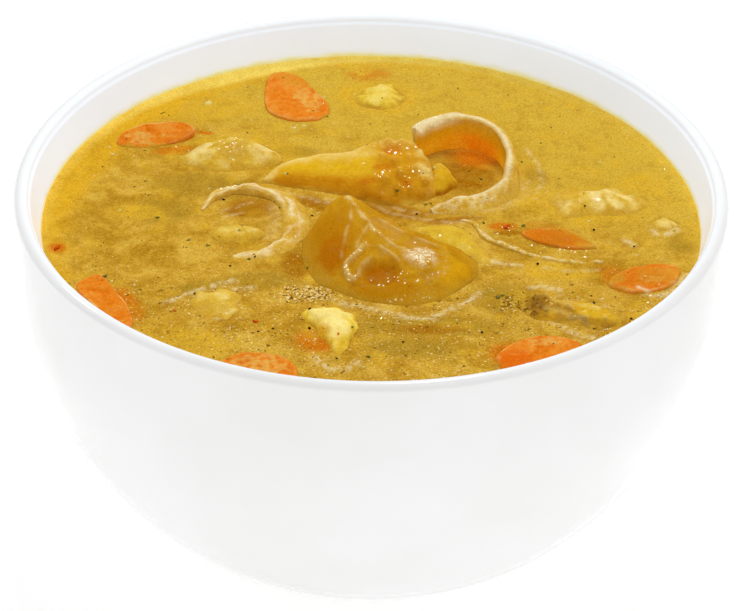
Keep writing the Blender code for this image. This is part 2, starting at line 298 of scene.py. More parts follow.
def ramp(value, low, high):
    """0 below low and 1 above high, with a soft change between."""
    share = np.clip((value - low) / (high - low), 0, 1)
    return share * share * (3 - 2 * share)


def fall(value, low, high):
    """1 below low and 0 above high, with a soft change between."""
    return 1 - ramp(value, low, high)


def most(*weights):
    """The highest of several weights, point by point."""
    return np.maximum.reduce(weights)


def spots(plan, *places):
    """How deep each plan point lies in soft ellipses of (x, y, half length, half width, degrees turned)."""
    best = np.zeros(len(plan))
    for x, y, length, width, turn in places:
        cos, sin = math.cos(math.radians(turn)), math.sin(math.radians(turn))
        along = ((plan[:, 0] - x) * cos + (plan[:, 1] - y) * sin) / length
        across = ((plan[:, 1] - y) * cos - (plan[:, 0] - x) * sin) / width
        best = np.maximum(best, fall(np.hypot(along, across), 0.45, 1.15))
    return best


def off_line(plan, line, closed=False):
    """Distance of each plan point from a line drawn through the given points."""
    line = np.array(line, float)[:, :2]
    ends = np.roll(line, -1, 0) if closed else line[1:]
    least = np.full(len(plan), np.inf)
    for start, end in zip(line, ends):
        run = end - start
        share = np.clip(((plan - start) @ run) / max(run @ run, 1e-9), 0, 1)
        least = np.minimum(least, np.hypot(*(plan - start - share[:, None] * run).T))
    return least


def strokes(plan, width, *lines):
    """How close each plan point lies to soft strokes of that half width along smooth lines."""
    best = np.zeros(len(plan))
    for line in lines:
        away = off_line(plan, curve(line, 6 * len(line)))
        best = np.maximum(best, np.exp(-(away / width) ** 2))
    return best


def paint(piece, **weights):
    """Stores weights on a mesh's points, for its material to read by name. One number serves all points."""
    for name, values in weights.items():
        layer = piece.data.attributes.new(name, "FLOAT", "POINT")
        layer.data.foreach_set("value", np.full(len(layer.data), np.clip(values, 0, 1), np.float32))


def bulge(piece, reach):
    """How sharply each point of a mesh bulges out, from -1 to 1, where 1 is a ridge of that radius."""
    points, normals = points_of(piece), normals_of(piece)
    edges = np.zeros(len(piece.data.edges) * 2, int)
    piece.data.edges.foreach_get("vertices", edges)
    edges = edges.reshape(-1, 2)
    start, end = np.concatenate([edges, edges[:, ::-1]]).T
    step = points[end] - points[start]
    bend = -2 * (step * normals[start]).sum(1) / np.maximum((step ** 2).sum(1), 1e-6)
    links = np.maximum(np.bincount(start, minlength=len(points)), 1)
    value = np.bincount(start, bend, len(points)) / links * reach
    for _ in range(3):
        value = np.bincount(start, value[end], len(points)) / links
    return np.clip(value, -1, 1)


shores = []     # where each piece meets the broth: (outline in plan, how far the broth is drawn up its side)


def slab(name, outline, top, depth, lean=0.0, soft=1.0):
    """A flat piece with rounded edges. The lean is its top's rise per mm towards the back."""
    edge = curve(outline, 120, closed=True)
    middle = edge.mean(0)
    size = np.hypot(*(edge - middle).T).mean()
    turn = np.radians(np.linspace(0, 90, 7))
    profile = [(0.3, -depth), (0.8, -depth), (0.95, -0.9 * depth), (1.0, -0.7 * depth), (1.0, top - soft)]
    profile += [(1 - soft / size * (1 - math.cos(t)), top - soft * (1 - math.sin(t))) for t in turn[1:]]
    inner = profile[-1][0]
    profile += [(inner * share, top) for share in np.linspace(1, 0.04, 26)[1:]]
    rings = []
    for scale, height in profile:
        plan = middle + (edge - middle) * scale
        rings.append(np.column_stack([plan, LEVEL + height + (plan[:, 1] - middle[1]) * lean]))
    shores.append((edge, 0.12))
    return skin(name, rings)


carrots = {
    "carrot_back": slab("carrot_slice_back", [
        (-25.5, 64.5), (-19.5, 65.0), (-14.0, 56.5), (-10.3, 49.0), (-12.5, 43.2), (-20.0, 42.6),
        (-26.0, 48.5)], top=0.9, depth=6.0),
    "carrot_left_back": slab("carrot_wedge_left_back", [
        (-59.5, 29.8), (-52.0, 29.6), (-45.0, 32.0), (-42.2, 35.6), (-47.0, 37.0), (-56.0, 35.6),
        (-60.3, 32.6)], top=1.6, depth=9.0, lean=0.4, soft=0.8),
    "carrot_left_front": slab("carrot_wedge_left_front", [
        (-64.2, -29.6), (-60.2, -25.2), (-56.2, -29.8), (-51.6, -38.5), (-50.5, -45.0), (-53.2, -46.0),
        (-59.4, -38.0)], top=0.8, depth=6.0),
    "carrot_front": slab("carrot_slice_front", [
        (-31.0, -57.5), (-25.0, -54.0), (-18.5, -55.0), (-14.5, -61.0), (-17.5, -67.5), (-24.0, -67.5),
        (-30.0, -63.5)], top=0.8, depth=6.0),
    "carrot_right_front": slab("carrot_slice_right_front", [
        (26.5, -54.5), (30.5, -49.3), (38.0, -46.3), (44.5, -49.5), (43.5, -55.0), (37.0, -60.5),
        (29.5, -61.0)], top=0.8, depth=6.0),
    "carrot_right": slab("carrot_wedge_right", [
        (51.8, -25.5), (57.0, -20.0), (64.0, -17.8), (68.4, -20.0), (66.4, -26.0), (60.6, -29.6),
        (55.0, -29.0)], top=0.8, depth=5.0),
    "carrot_sliver": slab("carrot_sliver_right", [
        (34.0, -6.0), (40.0, -4.5), (47.0, -8.0), (50.0, -12.0), (43.0, -12.2), (36.5, -9.5)],
        top=0.8, depth=4.0, soft=0.6),
}


def food(name, grain, drift, shades, wet, tints=None, glow=0.1, stretch=(1, 1, 1), bumps=0.4, grit=0.2,
         flecks=(), **values):
    """A wet food material. Its shades drift at two sizes in mm, and each tint lies where the mesh's weight of
    that name says, broken up by the grain. The tint called film is broth that lies over the food, and one
    weight sets how strongly the food glows with painted light, standing in for light that passes into it. A
    fleck is (weight, size in mm, shade): grains that lie thicker where the weight is high. Grit is how
    strongly the finest grain shows."""
    made, tree, shader, place = material(
        name, IOR=1.33, Coat_Weight=wet, Coat_Roughness=0.045, Coat_IOR=1.33, Specular_IOR_Level=0.0,
        Subsurface_Weight=glow, Subsurface_Radius=(2 * MM, 1.2 * MM, 0.5 * MM), Subsurface_Scale=1.0,
        Emission_Strength=1.0, **values)
    place = add(tree, "VectorMath", {0: place, 1: stretch}, operation="MULTIPLY")
    cells = add(tree, "TexNoise", {
        "Vector": place, "Scale": 1 / (grain * MM), "Detail": 5.0, "Roughness": 0.65})
    clouds = add(tree, "TexNoise", {
        "Vector": place, "Scale": 1 / (drift * MM), "Detail": 3.0, "Distortion": 0.8})
    mixed = add(tree, "Mix", {"Factor": 0.4, "A": clouds, "B": cells}, "Result")
    colour = add(tree, "ValToRGB", {"Fac": mixed}, stops=list(zip((0.38, 0.5, 0.62), shades)))
    broken = add(tree, "MapRange", {
        "Value": mixed, "From Min": 0.38, "From Max": 0.62, "To Min": 0.7, "To Max": 1.25})
    for layer, shade in (tints or {}).items():
        weight = add(tree, "Attribute", out="Fac", attribute_name=layer)
        share = add(tree, "Math", {0: weight, 1: broken}, operation="MULTIPLY", use_clamp=True)
        colour = add(tree, "Mix", {"Factor": share, "A": colour, "B": linear(shade)}, **OF_COLOURS)
    for layer, size, shade in flecks:
        weight = add(tree, "Attribute", out="Fac", attribute_name=layer)
        bits = add(tree, "TexNoise", {
            "Vector": place, "Scale": 1 / (size * MM), "Detail": 2.0, "Distortion": 0.4})
        above = add(tree, "Math", {0: weight, 1: 0.22, 2: bits}, operation="MULTIPLY_ADD")
        share = add(tree, "MapRange", {
            "Value": above, "From Min": 0.74, "From Max": 0.82}, interpolation_type="SMOOTHSTEP")
        colour = add(tree, "Mix", {"Factor": share, "A": colour, "B": linear(shade)}, **OF_COLOURS)
    fine = add(tree, "TexNoise", {"Vector": place, "Scale": 1 / (0.4 * grain * MM), "Detail": 2.0})
    grey = add(tree, "ValToRGB", {"Fac": fine}, stops=[(0.34, "#000000"), (0.66, "#ffffff")])
    colour = add(tree, "Mix", {"Factor": grit, "A": colour, "B": grey}, blend_type="SOFT_LIGHT", **OF_COLOURS)
    # painted light: the food glows in its own colour as strongly as this weight says
    lit = add(tree, "Attribute", out="Fac", attribute_name="lit")
    painted_glow_colour = add(tree, "Mix", {"Factor": lit, "A": linear("#000000"), "B": colour}, **OF_COLOURS)
    pits = add(tree, "Bump", {"Strength": bumps, "Distance": 0.1 * grain * MM, "Height": fine})
    lumps = add(tree, "Bump", {
        "Strength": bumps, "Distance": 0.2 * grain * MM, "Height": cells, "Normal": pits})
    wrinkles = add(tree, "TexNoise", {"Vector": place, "Scale": 1 / (1.7 * MM), "Detail": 1.0})
    wet_skin = add(tree, "Bump", {"Strength": 0.8, "Distance": 0.6 * MM, "Height": wrinkles})
    feed(shader, {"Base Color": colour, "Emission Color": painted_glow_colour, "Normal": lumps, "Coat Normal": wet_skin})
    return made


# Simmered carrot: dense orange flesh with a grain of paler cells, redder where it dips under. Its raised cut
# edges are painted pale as a highlight. It glows a little from within and is wet all over.
simmered_carrot = food(
    "simmered_carrot", grain=1.1, drift=5.0, shades=("#d97010", "#e3811e", "#e69232"), wet=0.08,
    tints={"pale": "#eab664", "red": "#de5a04", "washed": "#e2a84c", "deep": "#cc7410", "foam": "#ead6a8",
           "film": "#c8962c"}, Roughness=0.45)

for seed, (node, carrot) in enumerate(carrots.items()):
    roughen(carrot, (7.0, 0.35, seed), (2.2, 0.14, seed + 10), (0.9, 0.05, seed + 20))
    plan, rise, drift = survey(carrot, 2.5, seed + 30)
    patchy = ramp(drift, -0.9, 0.2)
    mottled = noise(points_of(carrot), 1.3, seed + 40)
    worn = spots(
        plan, (62, -25, 4, 2, 0), (-23, -59, 8, 6, 0), (-55, 32, 4, 2.4, 0), (38, -49, 6, 2, 10),
        (-16, 52, 4, 8, 20))
    paint(
        carrot,
        # pale: painted highlight on the raised cut edges that stand clear of the broth
        pale=0.75 * ramp(bulge(carrot, 1.0) + 0.3 * drift, 0.25, 0.8) * ramp(rise, 0.2, 0.9),
        red=0.6 * spots(plan, (31, -56, 4.5, 4.5, 0), (55, -26, 3, 3, 0)),
        washed=0.85 * ramp(0.9 * mottled + 0.8 * worn, 0.3, 0.95),
        deep=most(0.9 * spots(plan, (42, -8.5, 10, 5, 0)), 0.5 * spots(plan, (59, -24, 8, 5, 0))),
        foam=0.8 * patchy * strokes(plan, 0.6, [(58.4, -28.1), (61.7, -30.0), (64.8, -29.0), (67.0, -25.8)]),
        film=most(
            fall(rise + 0.4 * drift, -0.1, 0.6),
            0.35 * spots(plan, (64, -23, 6, 4, 0), (-20, 62, 8, 3.5, -50)),
            0.75 * patchy * spots(
                plan, (44.5, -5.6, 9, 3.2, -28), (49.5, -11, 4.5, 3, 0), (53, -26, 4, 5, 0))))
    seat(carrot, simmered_carrot, "carrot", node)

# ------------------------------------------------------------------------------------------------------
# Skin
# Thick skin of the foot, boiled until it is soft and half clear. One strip has rolled into an upright curl,
# one lies in a low ring, and the edge of a thin sheet breaks the surface between the foot and a carrot.


def band(name, stations, depth, spacing=0.33):
    """A strip standing on edge with a rounded top. Each station is (x, y, height of its top, thickness,
    flare), where the flare is how far its outer side slumps outwards at the broth. Returns it with, at each
    of its points, how far along, how far across (-1 to 1) and how far down it is."""
    rough = curve(stations, 12 * len(stations))
    length = np.hypot(*np.diff(rough[:, :2], axis=0).T).sum()
    line = curve(stations, int(length / spacing))
    top, flare = line[:, 2][:, None], line[:, 4][:, None]
    run = np.gradient(line[:, :2], axis=0)
    run /= np.hypot(*run.T)[:, None]
    side = np.stack([-run[:, 1], run[:, 0]], 1)
    walked = np.linspace(0, length, len(line))
    to_end = np.minimum(walked, length - walked) + 0.05
    half = line[:, 3] / 2
    half = half * np.sqrt(1 - (1 - np.clip(to_end / half, 0, 1)) ** 2)
    turn = np.radians(np.linspace(0, 180, 17))
    down = np.linspace(1, 0, 10)[:-1]
    across = np.concatenate([0.85 + 0.15 * (1 - down), np.cos(turn), -0.85 - 0.15 * (1 - down[::-1])])
    round_top = np.concatenate([down * 0, np.sin(turn), down * 0])
    below = np.concatenate([down, turn * 0, down[::-1]])
    shoulder = line[:, 2] - half * 0.8
    height = shoulder[:, None] + round_top * (half * 0.8)[:, None] - below * (shoulder + depth)[:, None]
    plan = line[:, None, :2] + side[:, None] * (half[:, None] * across)[:, :, None]
    drop = top - height
    slump = ramp(drop, 0.0, top + 0.6) * flare
    plan += side[:, None] * (slump * ramp(across, 0.2, 0.9))[:, :, None]
    made = skin(name, np.concatenate([plan, LEVEL + height[:, :, None]], 2))
    sides = [line[:, :2] + side * half[:, None], (line[:, :2] - side * half[:, None])[::-1]]
    shores.append((np.concatenate(sides), 0.12))
    along = np.repeat(walked / length, len(across))
    across = np.tile(across, len(line))
    return made, *(np.append(values, [values[0], values[-1]]) for values in (along, across, drop.ravel()))


# Boiled skin: a warm amber jelly. Its top edges are painted almost white as a highlight, the inside of the
# curl is painted deep orange as the glow of light that has passed into the skin twice, and brown at its foot
# as shade.
boiled_skin = food(
    "boiled_skin", grain=1.2, drift=5.0, shades=("#c8962a", "#d4a83c", "#dcb852"), wet=0.15, Roughness=0.42,
    tints={"gold": "#cf9410", "orange": "#cb7008", "brown": "#a06008", "pale": "#ecdaa8", "film": "#cfa63c"},
    flecks=[("dark", 0.7, "#9a5c08"), ("light", 0.5, "#efd592")])

curl, along, across, drop = band("skin_curl_standing", [
    (9.8, 27.4, 7.6, 4.0, 0.0), (14.2, 30.6, 8.4, 3.4, 0.2), (20.5, 31.8, 8.8, 2.4, 0.4),
    (26.6, 30.0, 8.6, 2.1, 0.5), (30.8, 25.2, 7.4, 2.2, 0.6), (32.3, 18.2, 5.2, 2.6, 1.0),
    (30.6, 11.4, 3.2, 3.6, 1.8), (25.5, 7.4, 2.2, 3.6, 2.2), (19.0, 5.0, 1.8, 3.2, 2.2),
    (13.4, 2.6, 1.0, 1.8, 1.0)], depth=6.0)
roughen(curl, (6.0, 0.5, 3), (2.4, 0.16, 4), (0.9, 0.05, 5))
points = points_of(curl)
drift = noise(points, 2.0, 6)
inner = ramp(-across, 0.2, 0.9)
front = ramp(along, 0.62, 0.8)
cap = fall(along, 0.1, 0.28)
edge_line = np.exp(-((across + 0.3 - 0.2 * drift) / 0.5) ** 2) * fall(drop, 0.4, 1.2)
mottled = ramp(noise(points, 1.4, 2), -0.2, 0.4)
paint(
    curl,
    # pale: painted highlight on the rim and the cap; the mottled pale of the front band is the skin's own
    pale=most(edge_line * (0.95 - 0.45 * front), cap * fall(drop + 0.5 * drift, 0.5, 2.4) * 0.9)
    + 0.5 * front * mottled * fall(drop, 0.6, 2.0),
    # down the inside: gold below the rim, orange as a painted glow, brown and dark as painted shade at its
    # foot
    gold=inner * ramp(drop, 0.3, 1.0) * (1 - front),
    orange=inner * ramp(drop + 0.4 * drift, 2.4, 6.2) * fall(points[:, 0], 27.0, 31.5) * (1 - 0.7 * cap)
    * 0.9,
    brown=inner * ramp(drop + 1.2 * drift, 5.2, 7.4) * (1 - 0.8 * ramp(points[:, 0], 19.0, 26.0)) * 0.1,
    dark=0.2 * inner * ramp(drop + 0.8 * drift, 5.0, 7.0) * (1 - front),
    light=0.6 * front * fall(drop, 0.6, 1.8),
    # painted light: a glow inside the curl and low on its outer side
    lit=inner * (1 - front) * (0.16 * ramp(drop, 0.6, 2.0) + 0.29 * ramp(drop, 2.8, 6.0))
    + 0.1 * (1 - inner) * ramp(drop, 0.8, 2.0),
    film=(1 - inner) * ramp(drop + 0.6 * drift, 0.6, 2.4) * 0.9)
seat(curl, boiled_skin, "skin", "skin_curl")

ring, along, across, drop = band("skin_ring_low", [
    (-38.6, 1.6, 0.5, 1.4, 0.2), (-36.0, 7.0, 1.4, 1.9, 0.9), (-30.5, 10.2, 1.8, 2.1, 1.3),
    (-24.2, 9.2, 1.7, 2.8, 1.5), (-19.2, 4.6, 1.5, 4.2, 1.6), (-17.2, -3.0, 1.3, 5.4, 1.6),
    (-18.6, -10.4, 1.0, 5.0, 1.5), (-24.2, -15.4, 0.6, 3.6, 1.0), (-30.4, -17.0, 0.2, 2.0, 0.4)], depth=4.0)
roughen(ring, (5.0, 0.5, 7), (1.8, 0.24, 8), (0.8, 0.07, 9))
drift = noise(points_of(ring), 1.8, 10)
streaks = noise(np.column_stack([along * 12, across * 2.4, along * 0]), 1.0, 11)
paint(
    ring,
    pale=fall(drop + 0.4 * drift, 0.05, 0.8) * ramp(streaks + 0.4 * drift, -0.3, 0.4)
    * (0.9 - 0.3 * ramp(along, 0.78, 1.0)),
    # brown: painted shade on the inner side of the ring's first part
    brown=0.12 * ramp(-across + 0.3 * drift, 0.2, 0.9) * fall(along, 0.35, 0.5),
    light=0.3 * ramp(along, 0.35, 0.5),
    # painted light: a faint glow
    lit=0.05,
    film=ramp(drop + 0.5 * drift + 0.5 * streaks, 0.4, 1.7))
seat(ring, boiled_skin, "skin", "skin_ring")

sheet, *_, drop = band("skin_sheet_edge", [
    (20.0, -0.6, 0.3, 0.7, 0.4), (23.4, -2.6, 0.5, 0.9, 0.4), (25.6, -8.0, 0.7, 1.3, 0.5),
    (31.0, -12.2, 0.6, 1.3, 0.5), (38.0, -15.8, 0.4, 1.1, 0.4), (45.0, -17.6, 0.3, 1.1, 0.4),
    (51.5, -17.2, 0.2, 0.9, 0.3)], depth=3.0, spacing=0.25)
roughen(sheet, (3.5, 0.5, 11), (1.2, 0.2, 12))
drift = noise(points_of(sheet), 1.6, 13)
paint(
    sheet,
    # pale and light grains: froth on the thin edge, and a painted highlight where it shines
    pale=fall(drop + 0.3 * drift, 0.05, 0.4) * ramp(drift, -0.2, 0.3),
    light=0.7 * fall(drop, 0.2, 0.8),
    film=most(ramp(drop + 0.4 * drift, 0.0, 0.4), 0.8 * ramp(-drift, 0.0, 0.4)))
seat(sheet, boiled_skin, "skin", "skin_sheet")

# ------------------------------------------------------------------------------------------------------
# Tendon
# A long limp tendon lies behind the middle, smooth at its left and gathered into soft knuckles at its right
# end, with a small knob of gristle beside it. A darker scrap lies by the wall at the front right.


def hump(name, stations, depth, rows, around=84):
    """A long limp piece lying from left to right, humped across. Each station is (x, back edge y, crest y,
    front edge y, height of the crest). Returns it with each point's share from the back edge to the front."""
    line = curve(stations, rows)
    share = curve([[s] for s in (-0.2, 0.0, 0.22, 0.4, 0.6, 0.8, 1.0, 1.2)], around)[:, 0]
    rings = []
    for x, back, crest, front, rise in line:
        tuck = (back - front) * 0.15
        section = curve([
            (back - tuck, -depth), (back, -1.0), ((back * 2 + crest) / 3, rise * 0.7), (crest, rise),
            (crest + (front - crest) * 0.4, rise * 0.8), (crest + (front - crest) * 0.75, rise * 0.4),
            (front, -1.0), (front + tuck, -depth)], around)
        rings.append(np.column_stack([np.full(around, x), section[:, 0], LEVEL + section[:, 1]]))
    rim = np.concatenate([line[:, [0, 1]], line[::-1][:, [0, 3]]])
    shores.append((rim[::2], 0.15))
    share = np.tile(share, rows)
    return skin(name, rings), np.append(share, [share[0], share[-1]])


def mound(name, outline, crest, rise, depth, around=110, rows=40, uneven=0.8):
    """A soft lump. The outline is where it meets the broth, and wanders by up to uneven. The crest is where
    it is highest."""
    edge = curve(outline, around, closed=True)
    middle, crest = edge.mean(0), np.array(crest)
    away = (edge - middle) / np.hypot(*(edge - middle).T)[:, None]
    edge = edge + away * (noise(np.column_stack([edge, edge[:, 0] * 0]), 3.2, 50) * uneven)[:, None]
    rings = []
    for scale, height in ((0.5, -depth), (0.75, -0.8 * depth), (0.95, -0.5 * depth), (1.0, -0.3 * depth)):
        rings.append(np.column_stack([middle + (edge - middle) * scale, np.full(around, LEVEL + height)]))
    for scale in np.linspace(1.0, 0.03, rows):
        height = rise * (1 - scale ** 2.2) - 0.1
        rings.append(np.column_stack([crest + (edge - crest) * scale, np.full(around, LEVEL + height)]))
    shores.append((edge, 0.1))
    return skin(name, rings)


# Boiled tendon: smooth and gold, with fine fibres that run along it. Its back is painted pale as a highlight
# where the light is, and its front is painted amber and brown as shade where it turns under.
boiled_tendon = food(
    "boiled_tendon", grain=1.3, drift=6.0, shades=("#c8921a", "#d0a022", "#d4aa30"), wet=0.06,
    tints={"gold": "#dbac1a", "amber": "#cc8a12", "brown": "#a9690a", "pale": "#e0c26c", "red": "#c0600a",
           "dusk": "#84561a", "film": "#c69a30"},
    flecks=[("dark", 0.7, "#6e4c14"), ("light", 0.5, "#e8c86c")], stretch=(0.6, 1, 1), grit=0.15,
    Roughness=0.4)

strip, share = hump("tendon_long", [
    (-25.2, 15.6, 15.2, 14.2, 0.8), (-20.5, 20.4, 18.0, 12.6, 3.0), (-13.5, 22.6, 19.6, 10.6, 4.2),
    (-6.0, 23.2, 20.2, 8.4, 4.6), (-1.0, 25.0, 22.0, 6.2, 5.8), (4.0, 25.8, 22.6, 4.6, 6.6),
    (8.6, 24.4, 21.8, 4.6, 6.8), (12.2, 22.0, 18.0, 6.6, 5.8), (14.4, 16.4, 12.2, 8.2, 3.0)],
    depth=6.0, rows=150)
KNUCKLES = [        # (x, y, width)
    (0.6, 21.4, 2.6), (3.8, 22.8, 2.2), (6.6, 22.4, 2.0), (9.2, 21.6, 2.2), (11.4, 19.4, 2.0),
    (12.8, 16.6, 2.0), (13.2, 13.6, 1.9), (12.0, 11.0, 2.0), (9.4, 9.4, 2.0), (6.2, 8.8, 2.2),
    (3.4, 11.2, 2.4), (5.4, 16.2, 2.2), (8.6, 17.4, 2.4), (9.8, 13.8, 2.2), (6.4, 12.6, 2.0),
    (2.2, 17.6, 2.4)]
KNUCKLE_RISE = 1.4
points = points_of(strip)
knuckled = ramp(points[:, 0], -2.0, 4.0)
for x, y, width in KNUCKLES:
    away = (points[:, 0] - x) ** 2 + (points[:, 1] - y) ** 2
    points[:, 2] += KNUCKLE_RISE * np.exp(-away / (0.54 * width) ** 2)
points[:, 2] -= KNUCKLE_RISE / 2 * knuckled
points[:, 2] += 0.4 * knuckled * noise(points, 2.0, 21)
move(strip, points)
points = points_of(strip)
move(strip, points + normals_of(strip) * (0.55 * knuckled * noise(points, 3.0, 37))[:, None])
roughen(strip, (8.0, 0.4, 22), (3.5, 0.15, 19), (1.2, 0.04, 23))
plan, rise, drift = survey(strip, 3.0, 24)
ridges = bulge(strip, 1.4)
back_to_front = share + 0.08 * drift
# painted highlight: pale along the strip's back, where the light falls
painted_highlight_back = fall(back_to_front, 0.34, 0.56) * ramp(share, -0.02, 0.1) * 0.9 * (1 - 0.75 * knuckled)
pale_tip = 0.8 * spots(plan, (-24.0, 15.6, 3.6, 1.8, 35))
# painted highlight: pale on the knuckles' ridges
pale_ridges = 0.4 * ramp(ridges + 0.3 * drift, 0.2, 0.8) * fall(share, 0.5, 0.8)
pale_end = 0.75 * ramp(drift, -0.7, 0.3) * spots(plan, (12.4, 15.6, 2.6, 7.0, 8), (8.5, 23.4, 6.0, 2.2, 0))
paint(
    strip,
    pale=most(painted_highlight_back, pale_tip + knuckled * most(pale_ridges, pale_end)),
    # gold, amber and brown: painted shading that darkens from the back to the front, where it turns under
    gold=0.7 * ramp(share, 0.28, 0.4) * fall(share, 0.6, 0.8) * (1 - 0.7 * knuckled),
    amber=most(ramp(back_to_front, 0.6, 0.82) * (1 - 0.35 * knuckled), 0.6 * knuckled),
    brown=ramp(back_to_front, 0.7, 0.98) * (1 - 0.4 * knuckled),
    # red: painted shade beside and below the knuckles
    red=0.5 * spots(
        plan, (4.5, 20.4, 2.6, 1.6, 0), (2.5, 14.8, 3.0, 1.4, 0), (8.0, 10.6, 2.4, 1.2, 0),
        (-1.0, 11.0, 3.0, 1.0, 0)),
    # dark: painted shade in the hollows between the knuckles; light: painted glints on their ridges
    dark=0.5 * knuckled * ramp(-ridges, 0.1, 0.6),
    light=0.8 * knuckled * ramp(ridges, 0.2, 0.7),
    # painted light: a faint glow
    lit=0.05 + 0.05 * fall(share, 0.5, 0.8) - 0.03 * knuckled,
    film=fall(rise + 0.6 * drift, -0.3, 0.9))
seat(strip, boiled_tendon, "tendon", "tendon_strip")

knob = mound("gristle_knob", [
    (13.4, 9.6), (18.0, 10.6), (19.8, 15.0), (17.6, 19.4), (12.8, 18.8)],
    crest=(15.8, 16.2), rise=4.3, depth=5.0)
roughen(knob, (3.4, 0.5, 25), (1.2, 0.06, 26))
paint(
    knob,
    gold=0.5,
    # pale: painted highlight on its bulges
    pale=0.4 * ramp(bulge(knob, 1.4), 0.4, 0.9),
    # painted light: a faint glow
    lit=0.06,
    brown=fall(points_of(knob)[:, 2] - LEVEL, 0.2, 1.8))
seat(knob, boiled_tendon, "tendon", "tendon_knob")

scrap = mound("tendon_scrap_front_right", [
    (31.6, -34.6), (36.0, -30.0), (42.5, -32.6), (50.5, -35.4), (54.5, -39.5), (50.0, -44.2),
    (43.0, -42.4), (35.5, -40.0)], crest=(40.5, -36.2), rise=2.0, depth=5.0, around=160, rows=60)
scrap_ridge = [(35.9, -32.5), (37.8, -34.4), (40.5, -36.6), (43.0, -38.1)]
points = points_of(scrap)
plan = points[:, :2]
points[:, 2] += 0.7 * strokes(plan, 1.0, scrap_ridge)
points[:, 2] += 0.5 * spots(plan, (47.2, -37.6, 2.6, 1.8, -20), (51.2, -39.8, 2.0, 1.6, 0))
points[:, 2] -= 1.3 * spots(plan, (48.6, -42.2, 5.0, 1.6, -5)) + 0.7 * spots(plan, (33.0, -35.8, 2.6, 4.0, 0))
move(scrap, points)
roughen(scrap, (3.4, 0.4, 27), (1.3, 0.16, 28), (0.7, 0.06, 36))
plan, rise, drift = survey(scrap, 2.0, 29)
streaks = ramp(drift, -0.7, 0.2) * strokes(
    plan, 0.7, scrap_ridge, [(36.4, -36.4), (39.4, -38.4), (43.4, -40.4), (47.0, -41.4)],
    [(42.0, -34.6), (45.4, -36.4), (49.0, -37.6)])
yellow_lumps = spots(plan, (48.6, -38.2, 6.0, 3.2, -20))
soaked = (0.9 - 0.7 * ramp(rise + 0.6 * drift, 0.2, 1.4)) * (0.35 + 0.45 * ramp(plan[:, 0], 37.0, 42.0))
paint(
    scrap,
    dusk=most(
        spots(plan, (34.6, -36.0, 5.0, 5.0, 0), (49.0, -42.6, 5.0, 1.4, -5)) * 0.85,
        0.5 * ramp(drift - spots(plan, (48.0, -38.0, 6.0, 3.0, -20)), -0.3, 0.3)),
    gold=0.8 * yellow_lumps,
    # painted light: a faint glow on the yellow lumps
    lit=0.06 * yellow_lumps,
    # pale: film streaks, and a painted highlight on its bulges
    pale=most(0.8 * streaks, 0.4 * ramp(bulge(scrap, 1.4) + 0.3 * drift, 0.4, 0.9)),
    red=0.8 * spots(plan, (50.0, -42.8, 3.4, 1.3, 0)),
    dark=spots(plan, (34.6, -36.0, 5.5, 5.5, 0), (50.0, -42.6, 4.0, 1.4, -5)),
    light=0.6 * spots(plan, (44.0, -37.6, 8.0, 4.0, -20)),
    film=(1 - 0.9 * streaks) * most(
        soaked * (1 - 0.9 * spots(plan, (49.5, -42.6, 4.6, 1.8, -5))), fall(rise + 0.8 * drift, -0.3, 0.6)))
seat(scrap, boiled_tendon, "tendon", "meat_front_right")

# ------------------------------------------------------------------------------------------------------
# Foot
# The piece of foot that gives the soup its name: skin and sinew folded round where the bone came out. It
# rises to a blunt fin at the back left, falls to a C-shaped fold, and a hollow lies inside the fold.

# Boiled foot skin: a smooth brown amber jelly with a dull gloss. It is painted deeper amber and brown as
# shade on its left face, in the hollow and along its front, and pale along its ridge, fold and creases as a
# highlight. Fat lies as a cream patch on the lump beside the hollow, partly a painted highlight.
foot_skin = food(
    "boiled_foot_skin", grain=1.1, drift=5.0, shades=("#b67c0e", "#bf8914", "#c8961e"), wet=0.06,
    tints={"amber": "#b67a0a", "brown": "#b26a06", "gold": "#d29a12", "rosy": "#c6923a", "pale": "#dabf7a",
           "cream": "#dabc88", "film": "#b88a22"},
    flecks=[("light", 0.45, "#f0e0b8")], grit=0.15, Roughness=0.4)

fold = [(-1.3, -19.2), (-3.6, -22.6), (-5.4, -24.6), (-4.9, -27.3), (-3.5, -29.0)]
fold_inside = [(0.5, -22.6), (-1.9, -24.9), (-2.9, -28.2)]
fin_ridge = [(-5.3, -3.6), (-3.0, -8.0), (-0.6, -12.0), (0.7, -14.7)]
creases = [
    [(-4.4, -5.6), (-4.6, -11.0), (-5.6, -16.5), (-6.4, -22.0)],
    [(-0.4, -11.6), (-1.6, -15.4), (-3.2, -19.8)],
    [(1.4, -14.6), (4.2, -17.4), (7.4, -19.4)],
    [(0.8, -9.4), (5.4, -12.4), (10.6, -14.8), (15.6, -17.4)],
    [(2.0, -19.0), (5.0, -21.6), (6.6, -24.8)],
]
foot_piece, _ = hump("foot_folded", [
    (-15.2, -9.6, -13.0, -19.5, 0.7), (-12.0, -3.6, -7.0, -27.0, 3.2), (-8.6, -0.4, -3.8, -29.8, 5.8),
    (-5.4, 0.0, -3.2, -31.8, 7.3), (-1.6, -1.8, -5.4, -34.0, 6.7), (3.4, -5.8, -9.6, -35.2, 5.3),
    (8.6, -9.0, -12.8, -35.8, 4.2), (14.4, -11.6, -15.2, -33.8, 3.3), (19.6, -14.2, -17.6, -29.4, 2.3),
    (23.6, -17.6, -19.8, -23.6, 0.7)], depth=8.0, rows=150, around=150)
points = points_of(foot_piece)
plan = points[:, :2]
points[:, 2] += 0.5 * strokes(plan, 1.1, fin_ridge)
points[:, 2] += 1.25 * strokes(plan, 0.75, fold) + 0.7 * strokes(plan, 0.6, fold_inside)
points[:, 2] += 0.4 * strokes(plan, 0.5, *creases)
